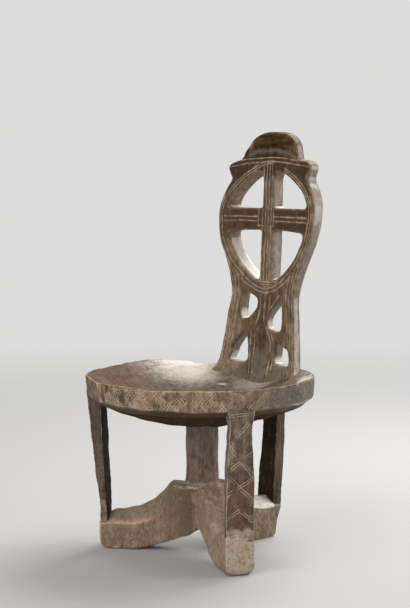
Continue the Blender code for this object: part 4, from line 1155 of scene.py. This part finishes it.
base = Settings(
    postRadius=0.0285, postFoot=0.112, postTop=0.236,
    postFlare=(0.134, 0.118, 0.0022), postHead=(0.216, 0.23, 0.002),
    postHewn=((0.0011, 0.03, 51),), postGrain=((0.0003, 0.008, 52),),
    postRed=(0.2, 0.13, 0.7), postWorn=(0.124, 0.005, 0.7),
    hubTop=0.1203, hubReach=0.051, hubRound=0.0045, hubSpan=0.062, hubCells=170,
    hubCore=0.004, hubBlend=0.006, hubHewn=((0.0007, 0.02, 53),), hubPull=1.1, wallBend=0.35,
    hubWear=0.4, hubWearReach=0.006, collar=(0.003, 0.003, 0.9),
    hubShadeRight=(2.0, -2.0, 0.75), hubShadeLeft=(-60.0, -15.0),  # painted shade left of the crease before the post
    rootWidth=0.042, endWidth=0.05, footRoot=0.022, footReach=0.183, footTip=0.006,
    archReach=0.13, archCurve=1.5,
    fall=(0.152, 0.18), rootEdge=0.0012, endEdge=0.004, endEdgeFrom=(0.14, 0.17),
    ridgeRise=(0.127, 0.077, 0.01), rootDrop=0.8, soleFrom=(0.15, 0.18),
    slantFrom=(0.11, 0.17), shiftFrom=(0.08, 0.16), footHewn=((0.0013, 0.034, 0), (0.0004, 0.01, 1)),
    # marks of a foot: ranges from none to full, or middle and reach, then a strength
    bend=(0.72, 0.28), bendWear=0.6, bendFrom=(0.075, 0.115), ridgeFrom=(0.075, 0.105),
    ridgeWear=(0.0, 0.0022, 0.9), soleWear=(0.0, 0.005, 0.7),
    redLine=(0.001, 0.006), redAcross=(0.2, 0.6), endChalk=(-0.01, -0.001),
    rootShade=(0.088, 0.038, 0.75), topShade=0.5,
    # sheen: gloss and a painted highlight on a foot's upper faces
    sheenFacing=(0.2, 0.6), sheenFrom=(0.09, 0.12), sheenTo=(0.168, 0.16), sheenAsh=1.1,
    legEdge=0.0022, legHewn=((0.0008, 0.028, 3), (0.0003, 0.009, 4)), twistFrom=(0.275, 0.225),
    cutHalf=0.001, cutPair=0.002, cutDepth=0.0007, faceFrom=(0.75, 0.95),
    drift=((0.0007, 0.024, 5), (0.0003, 0.008, 6)), gap=(0.02, 7), kept=(-0.9, -0.1),
    # double lines of the lattice, as heights at the left and right edge of a leg
    latticeZ=(0.086, 0.27),
    lattice=((0.223, 0.268), (0.18, 0.212), (0.139, 0.169), (0.097, 0.128), (0.225, 0.168),
             (0.173, 0.125), (0.136, 0.089)),
    # short strokes of a leg: lean, step, lowest and highest, leftmost and rightmost, strength
    strokes=((0.046, 0.0058, 0.222, 0.268, -0.8, 1.0, 0.8),
             (0.02, 0.0033, 0.19, 0.222, -1.0, -0.55, 0.95),
             (-0.04, 0.005, 0.09, 0.104, 0.45, 1.0, 0.75)),
    strokeDrift=1.6, strokeWiden=0.8, topLines=(0.2715, 0.2752),
    # painted shade on the inner faces of the legs
    legWear=0.75, legFaceWear=0.35, innerSoot=0.95, legRed=(0.2, 0.15, 0.6),
    chalkRise=0.006, chalkWave=((0.004, 0.012, 8),), chalkFade=0.014,
)
# Profiles are pairs of height and size; facets are the falls of a foot's top towards its left and right edge
plainLeg = Settings(
    footFall=0.0, endSlant=0.0, sideShift=0.0, sheen=0.0, sooty=0.0, twist=0.0,
    innerNarrow=0.0, sideChalk=0.0, rootNarrow=0.0, ridge=0.0, ridgeWear=0.35,
    redLine=0.3, shade=0.0, endChalk=1.0,
)
legs = {
    "front_left": Settings(
        turn=-60.0, footTop=0.068, footDip=2.8, dipStart=0.057, landing=0.167,
        footFall=0.012, arch=0.046, facets=(0.014, 0.018), crestHalf=0.007,
        toe=(0.018, 0.018), footEdge=0.005, soleRound=0.004, endRound=0.005,
        sooty=0.3, top=0.283, bottom=0.046, chalkTop=0.088, sideChalk=0.75, seed=31,
        ridge=0.047, ridgeWear=1.0, redLine=1.0, shade=1.0,
        outer=((0.06, 0.1805), (0.086, 0.182), (0.101, 0.184), (0.122, 0.188), (0.156, 0.1916),
               (0.185, 0.195), (0.21, 0.1972), (0.245, 0.2016), (0.265, 0.2042), (0.283, 0.2058)),
        inner=((0.065, 0.168), (0.087, 0.1695), (0.123, 0.1729), (0.157, 0.1743), (0.196, 0.1766),
               (0.257, 0.1795), (0.276, 0.181), (0.29, 0.19)),
        width=((0.05, 0.034), (0.09, 0.036), (0.13, 0.043), (0.255, 0.041), (0.279, 0.045)),
        shift=((0.05, 0.006), (0.09, 0.005), (0.13, 0.001), (0.28, 0.0)),
    ),
    "front_right": Settings(
        turn=61.4, footTop=0.073, footDip=2.5, dipStart=0.051, landing=0.164,
        arch=0.07, facets=(0.006, 0.008), crestHalf=0.008,
        toe=(0.009, 0.014), footEdge=0.013, soleRound=0.013, endRound=0.0022,
        sideShift=0.0037, top=0.281, bottom=0.058, twist=-7.0,
        chalkTop=0.083, rootNarrow=0.006, seed=37,
        outer=((0.058, 0.1822), (0.07, 0.1824), (0.095, 0.1834), (0.12, 0.1865), (0.15, 0.191),
               (0.18, 0.195), (0.21, 0.1972), (0.281, 0.1978)),
        inner=((0.07, 0.166), (0.12, 0.17), (0.2, 0.176), (0.281, 0.179)),
        width=((0.07, 0.0475), (0.149, 0.0475), (0.207, 0.0435), (0.241, 0.0385), (0.262, 0.039),
               (0.281, 0.049)),
        shift=((0.08, 0.0037), (0.149, 0.0023), (0.207, 0.0), (0.28, 0.0)),
    ),
    "rear": Settings(
        turn=178.7, footTop=0.074, footDip=2.5, dipStart=0.051, landing=0.162,
        arch=0.05, facets=(0.017, 0.004), crestHalf=0.003,
        toe=(0.006, 0.005), footEdge=0.005, soleRound=0.004, endRound=0.004,
        endSlant=0.0155, sideShift=-0.002, sheen=1.0, sooty=0.3, top=0.281, bottom=0.058,
        innerNarrow=0.12, chalkTop=0.0, endChalk=0.35, seed=41,
        outer=((0.06, 0.182), (0.1, 0.187), (0.13, 0.192), (0.165, 0.196), (0.21, 0.1973),
               (0.281, 0.1975)),
        inner=((0.06, 0.164), (0.12, 0.1685), (0.2, 0.1765), (0.281, 0.1783)),
        width=((0.07, 0.0455), (0.11, 0.0445), (0.165, 0.04), (0.22, 0.038), (0.26, 0.038),
               (0.281, 0.043)),
        shift=((0.07, -0.0028), (0.28, -0.0028)),
    ),
}
legs = {word: Settings(plainLeg, **leg) for word, leg in legs.items()}


def around(turn, outward, sideways):  # carries a leg's own outward and sideways sizes to x and y
    turn = math.radians(turn)
    x = math.sin(turn) * outward + math.cos(turn) * sideways
    return x, axisY - math.cos(turn) * outward + math.sin(turn) * sideways


def archUnder(radius, height):  # underside of the base: height · (1 - r / R) ^ curve
    return height * unit(1.0 - radius / base.archReach) ** base.archCurve


def archHeight(x, y):  # each leg's own arch along its line, mixed between the lines by the cube of the cosine
    angle = np.arctan2(x, -y)
    total = weights = 1e-9
    for leg in legs.values():
        weight = unit(np.cos(angle - math.radians(leg.turn))) ** 3
        total, weights = total + weight * leg.arch, weights + weight
    return total / weights


def cornerShare(nu, nv):  # 1 on the rounded corners of a section, 0 on its flat sides
    flat, span = base.bend
    return 1.0 - np.clip(np.maximum(np.abs(nu), np.abs(nv)) - flat, 0.0, span) / span


def makePost():  # round bar with a hewn, uneven radius, a slight foot and a slight head
    z = np.linspace(base.postFoot, base.postTop, 110)[:, None]
    turn = np.linspace(0.0, math.tau, 140, endpoint=False)
    x, y = np.cos(turn) * base.postRadius, np.sin(turn) * base.postRadius
    hewn = layered(x, y, z * 0.5, base.postHewn) + layered(x, y, z, base.postGrain)
    radius = base.postRadius + hewn + ease(z, *base.postFlare) + ease(z, *base.postHead)
    rings = np.stack([np.cos(turn) * radius, axisY + np.sin(turn) * radius, z + 0 * radius], -1)
    marks = {"stain": ease(z, *base.postRed), "wear": bell(z, *base.postWorn)}
    addPiece("center_post", loftMesh(rings, marks), "post_wood")


def makeHub():  # three arms' outline between a flat top with a round edge and the arch
    outline = []
    half, reach, arms = base.rootWidth / 2, base.hubReach, list(legs.values())
    for arm, following in zip(arms, arms[1:] + arms[:1]):
        spread = math.radians((following.turn - arm.turn) % 360)
        inward = (half - following.rootNarrow + half * math.cos(spread)) / math.sin(spread)
        corners = ((reach, arm.rootNarrow - half), (reach, half), (inward, half))
        outline += [around(arm.turn, out, side) for out, side in corners]
    span = np.linspace(-base.hubSpan, base.hubSpan, base.hubCells)
    x, y = np.meshgrid(span, span)
    sharp = loopField(np.array(outline) - (0.0, axisY), x, y)
    edge = softMax(sharp, base.postRadius + base.hubCore - np.hypot(x, y), base.hubBlend)

    def surfaces(v):  # below the round core the walls run in to the crease
        x, y, distance = v["x"], v["y"], unit(v["edge"])
        away = np.hypot(x, y)
        top = base.hubTop - rollOff(distance, base.hubRound) + layered(x, y, 0.0, base.hubHewn)
        under = archUnder(away, archHeight(x, y))
        wear = base.hubWear * (1.0 - smooth(distance / base.hubWearReach))
        wear = np.maximum(wear, bell(away - base.postRadius, *base.collar))
        angle = np.degrees(np.arctan2(x, -y))
        shaded = ease(angle, *base.hubShadeRight) * ease(angle, *base.hubShadeLeft)
        core = np.clip(v["edge"] - v["sharp"], 0.0, 0.02)
        pulled = 1.0 - core * base.hubPull / np.maximum(away, 0.01)
        marks = {"wear": (wear, x * 0), "smoke": (x * 0, shaded)}
        return np.stack([x, y + axisY, top], 1), np.stack([x * pulled, y * pulled + axisY, under], 1), marks

    fields = {"x": x, "y": y, "edge": edge, "sharp": sharp}
    addPiece("base_hub", cutBoard(fields, edge, surfaces, 24, base.wallBend), "base_wood")


# Section carried outwards: facets fall from a narrow crest, and the underside is an arch
def makeFoot(node, leg):
    root, reach, tip, top = base.hubReach, base.footReach, base.footTip, leg.footTop
    toeLength, toeHeight = leg.toe
    r = np.concatenate([
        np.linspace(base.footRoot, root, 12), np.linspace(root, reach - tip, 150)[1:-1],
        reach - tip * (1.0 - np.sin(np.linspace(0.0, math.pi / 2, 12))),
    ])[:, None]
    leaving = ease(r, root, root + 0.05)
    ahead = (leg.landing - r) / (leg.landing - leg.dipStart)
    dip = unit(ahead) ** leg.footDip
    hidden = np.where(r < root, 0.0003, 0.0)
    high = top + (base.hubTop - top) * dip - hidden - leg.footFall * ease(r, *base.fall)
    toe = unit((r - reach + toeLength) / toeLength)
    low = archUnder(r, leg.arch) + toeHeight * (1.0 - np.sqrt(1.0 - toe**2)) + hidden
    width = base.rootWidth + (base.endWidth - base.rootWidth) * (r - root) / (reach - root)
    inset = rollOff(reach - r, leg.endRound)
    narrow = leg.rootNarrow * (1.0 - ease(r, root, root + 0.06))
    width = np.where(r < root, base.rootWidth, width) - 2 * hidden - 2 * inset - narrow
    low = low + inset * (low > 0.001)
    u, v, nu, nv = sectionOutline((40, 40, 40, 18), 6)
    corner = leg.footEdge + (base.endEdge - leg.footEdge) * ease(r, *base.endEdgeFrom)
    corner = base.rootEdge + (corner - base.rootEdge) * ease(r, root, root + 0.03)
    edgeRound = np.where(r < root, base.hubRound, corner)
    side = u * (width / 2 - corner) + nu * corner
    z = (high + low) / 2 + v * ((high - low) / 2 - corner) + nv * corner
    share = unit((z - low) / (high - low))
    z = z + (archUnder(np.hypot(r, side), leg.arch) - archUnder(r, leg.arch)) * (1.0 - share)
    across = unit((np.abs(side) - leg.crestHalf) / (width / 2 - leg.crestHalf))
    drop = np.where(side < 0, *leg.facets) * leaving
    if leg.ridge:
        level = leg.ridge + ease(r, *base.ridgeRise)
        drop = np.where(side > 0, (high - level) * ease(r, root, root + 0.03), drop)
    rootDrop = rollOff(width / 2 - np.abs(side), edgeRound) * (1.0 - leaving)
    z = z - unit((share - 0.4) / 0.6) * (across * drop + rootDrop * base.rootDrop)
    soleIn = rollOff(unit(z - low), leg.soleRound) * ease(r, *base.soleFrom)
    side = side * (1.0 - soleIn / (width / 2))
    out = r - leg.endSlant * (1.0 - share) * ease(r, *base.slantFrom)
    side = side + leg.sideShift * ease(r, *base.shiftFrom) + narrow / 2
    x, y = around(leg.turn, out, side)
    free = ease(r, root, root + 0.012) * (1.0 - smooth(-nv)) * smooth((reach - r) / 0.004 + 0.35)
    hewn = layered(x, y, z, base.footHewn, leg.seed) * free
    x, y = around(leg.turn, out, side + nu * hewn)
    z = np.maximum(z + nv * hewn, 0.0)

    above, onArm = z - high + drop, ease(r, *base.ridgeFrom)
    ridgeWear = bell(above, *base.ridgeWear) * (across > 0.9) * onArm * leg.ridgeWear
    bends = base.bendWear * cornerShare(nu, nv) * ease(r, *base.bendFrom)
    sole = bell(z, *base.soleWear) * np.abs(nu)
    shaded = np.maximum(ease(r, *base.rootShade) * smooth(nu), base.topShade * smooth(nv * 2.0))
    redLine = bell(above, *base.redLine) * ease(across, *base.redAcross) * onArm
    # painted highlight on the rear foot's upper faces: gloss and a pale colour
    sheen = leg.sheen * ease(r, *base.sheenFrom) * ease(r, *base.sheenTo)
    sheen = sheen * ease(nv, *base.sheenFacing)
    marks = {
        "wear": np.maximum(np.maximum(bends, ridgeWear), sole),
        "chalk": ease(r - reach, *base.endChalk) * leg.endChalk, "stain": redLine * leg.redLine,
        "gloss": sheen, "ash": sheen * base.sheenAsh, "smoke": shaded * leg.shade,
    }
    addPiece(node, loftMesh(np.stack([x, y, z], -1), marks), "base_wood")


# Double lines of a crossed lattice, short strokes, and two lines at the top
def latticeCut(across, z, width, drift):
    half = base.cutHalf
    share = (across + 1.0) / 2
    cuts = []
    for left, right in base.lattice:
        gap = (z - left - (right - left) * share) / np.sqrt(1.0 + ((right - left) / width) ** 2) + drift
        cuts.append(scratch(np.abs(gap) - base.cutPair, half) * between(z, *base.latticeZ))
    for slope, step, low, high, left, right, strength in base.strokes:
        rise = z - slope * share + drift * base.strokeDrift
        kept = between(across, left, right) & between(z, low, high)
        cuts.append(scratch((rise / step % 1.0 - 0.5) * step * base.strokeWiden, half) * kept * strength)
    for level in base.topLines:
        cuts.append(scratch(z - level + drift, half))
    return np.max(cuts, axis=0)


# Section carried down between an outer and an inner profile, bent inwards to the foot
def makeLeg(node, leg):
    z = np.linspace(leg.top, leg.bottom, 280)[:, None]
    outer, inner = eased(leg.outer, z, 0.008), eased(leg.inner, z, 0.008)
    width, shift = eased(leg.width, z), eased(leg.shift, z)
    u, v, nu, nv = sectionOutline((14, 66, 14, 24), 6)
    corner, seed = base.legEdge, leg.seed
    side = (u * (width / 2 - corner) + nu * corner) * (1.0 - leg.innerNarrow * (1.0 - v) / 2)
    middle = (outer + inner) / 2
    outward = v * ((outer - inner) / 2 - corner) + nv * corner
    face = ease(nv, *base.faceFrom)
    x, y = around(leg.turn, middle + outward, side)
    drift = layered(x, y, z, base.drift, seed)
    size, more = base.gap
    kept = ease(uneven(x, y, z, size, seed + more), *base.kept)
    cut = latticeCut(side / width * 2, z + 0 * side, width, drift) * face * kept
    hewn = layered(x, y, z, base.legHewn, seed)
    outward = outward + nv * hewn - face * base.cutDepth * cut
    side = side + nu * hewn
    twist = math.radians(leg.twist) * ease(z, *base.twistFrom)
    turned = middle + outward * np.cos(twist) - side * np.sin(twist)
    x, y = around(leg.turn, turned, side * np.cos(twist) + outward * np.sin(twist) + shift)

    bends = cornerShare(nu, nv)
    outFace, sideFace = smooth(nv * 2.0), smooth(nu * 2.0)
    border = leg.chalkTop + base.chalkRise + layered(x, y, z, base.chalkWave, seed)
    chalk = smooth((border - z) / base.chalkFade) * np.maximum(outFace, leg.sideChalk * sideFace)
    # inner faces get painted shade; some legs are a little darker all round
    marks = {
        "cut": cut, "wear": bends * (base.legWear + base.legFaceWear * smooth(nv)), "chalk": chalk,
        "smoke": leg.sooty + (base.innerSoot - leg.sooty) * smooth(-nv),
        "gloss": bends * sideFace, "stain": ease(z, *base.legRed) * outFace,
    }
    addPiece(node, loftMesh(np.stack([x, y, z + 0 * x], -1), marks), "leg_wood")


makePost()
makeHub()
for word, leg in legs.items():
    makeFoot(word + "_foot", leg)
    makeLeg(word + "_leg", leg)
print("base and legs hewn")
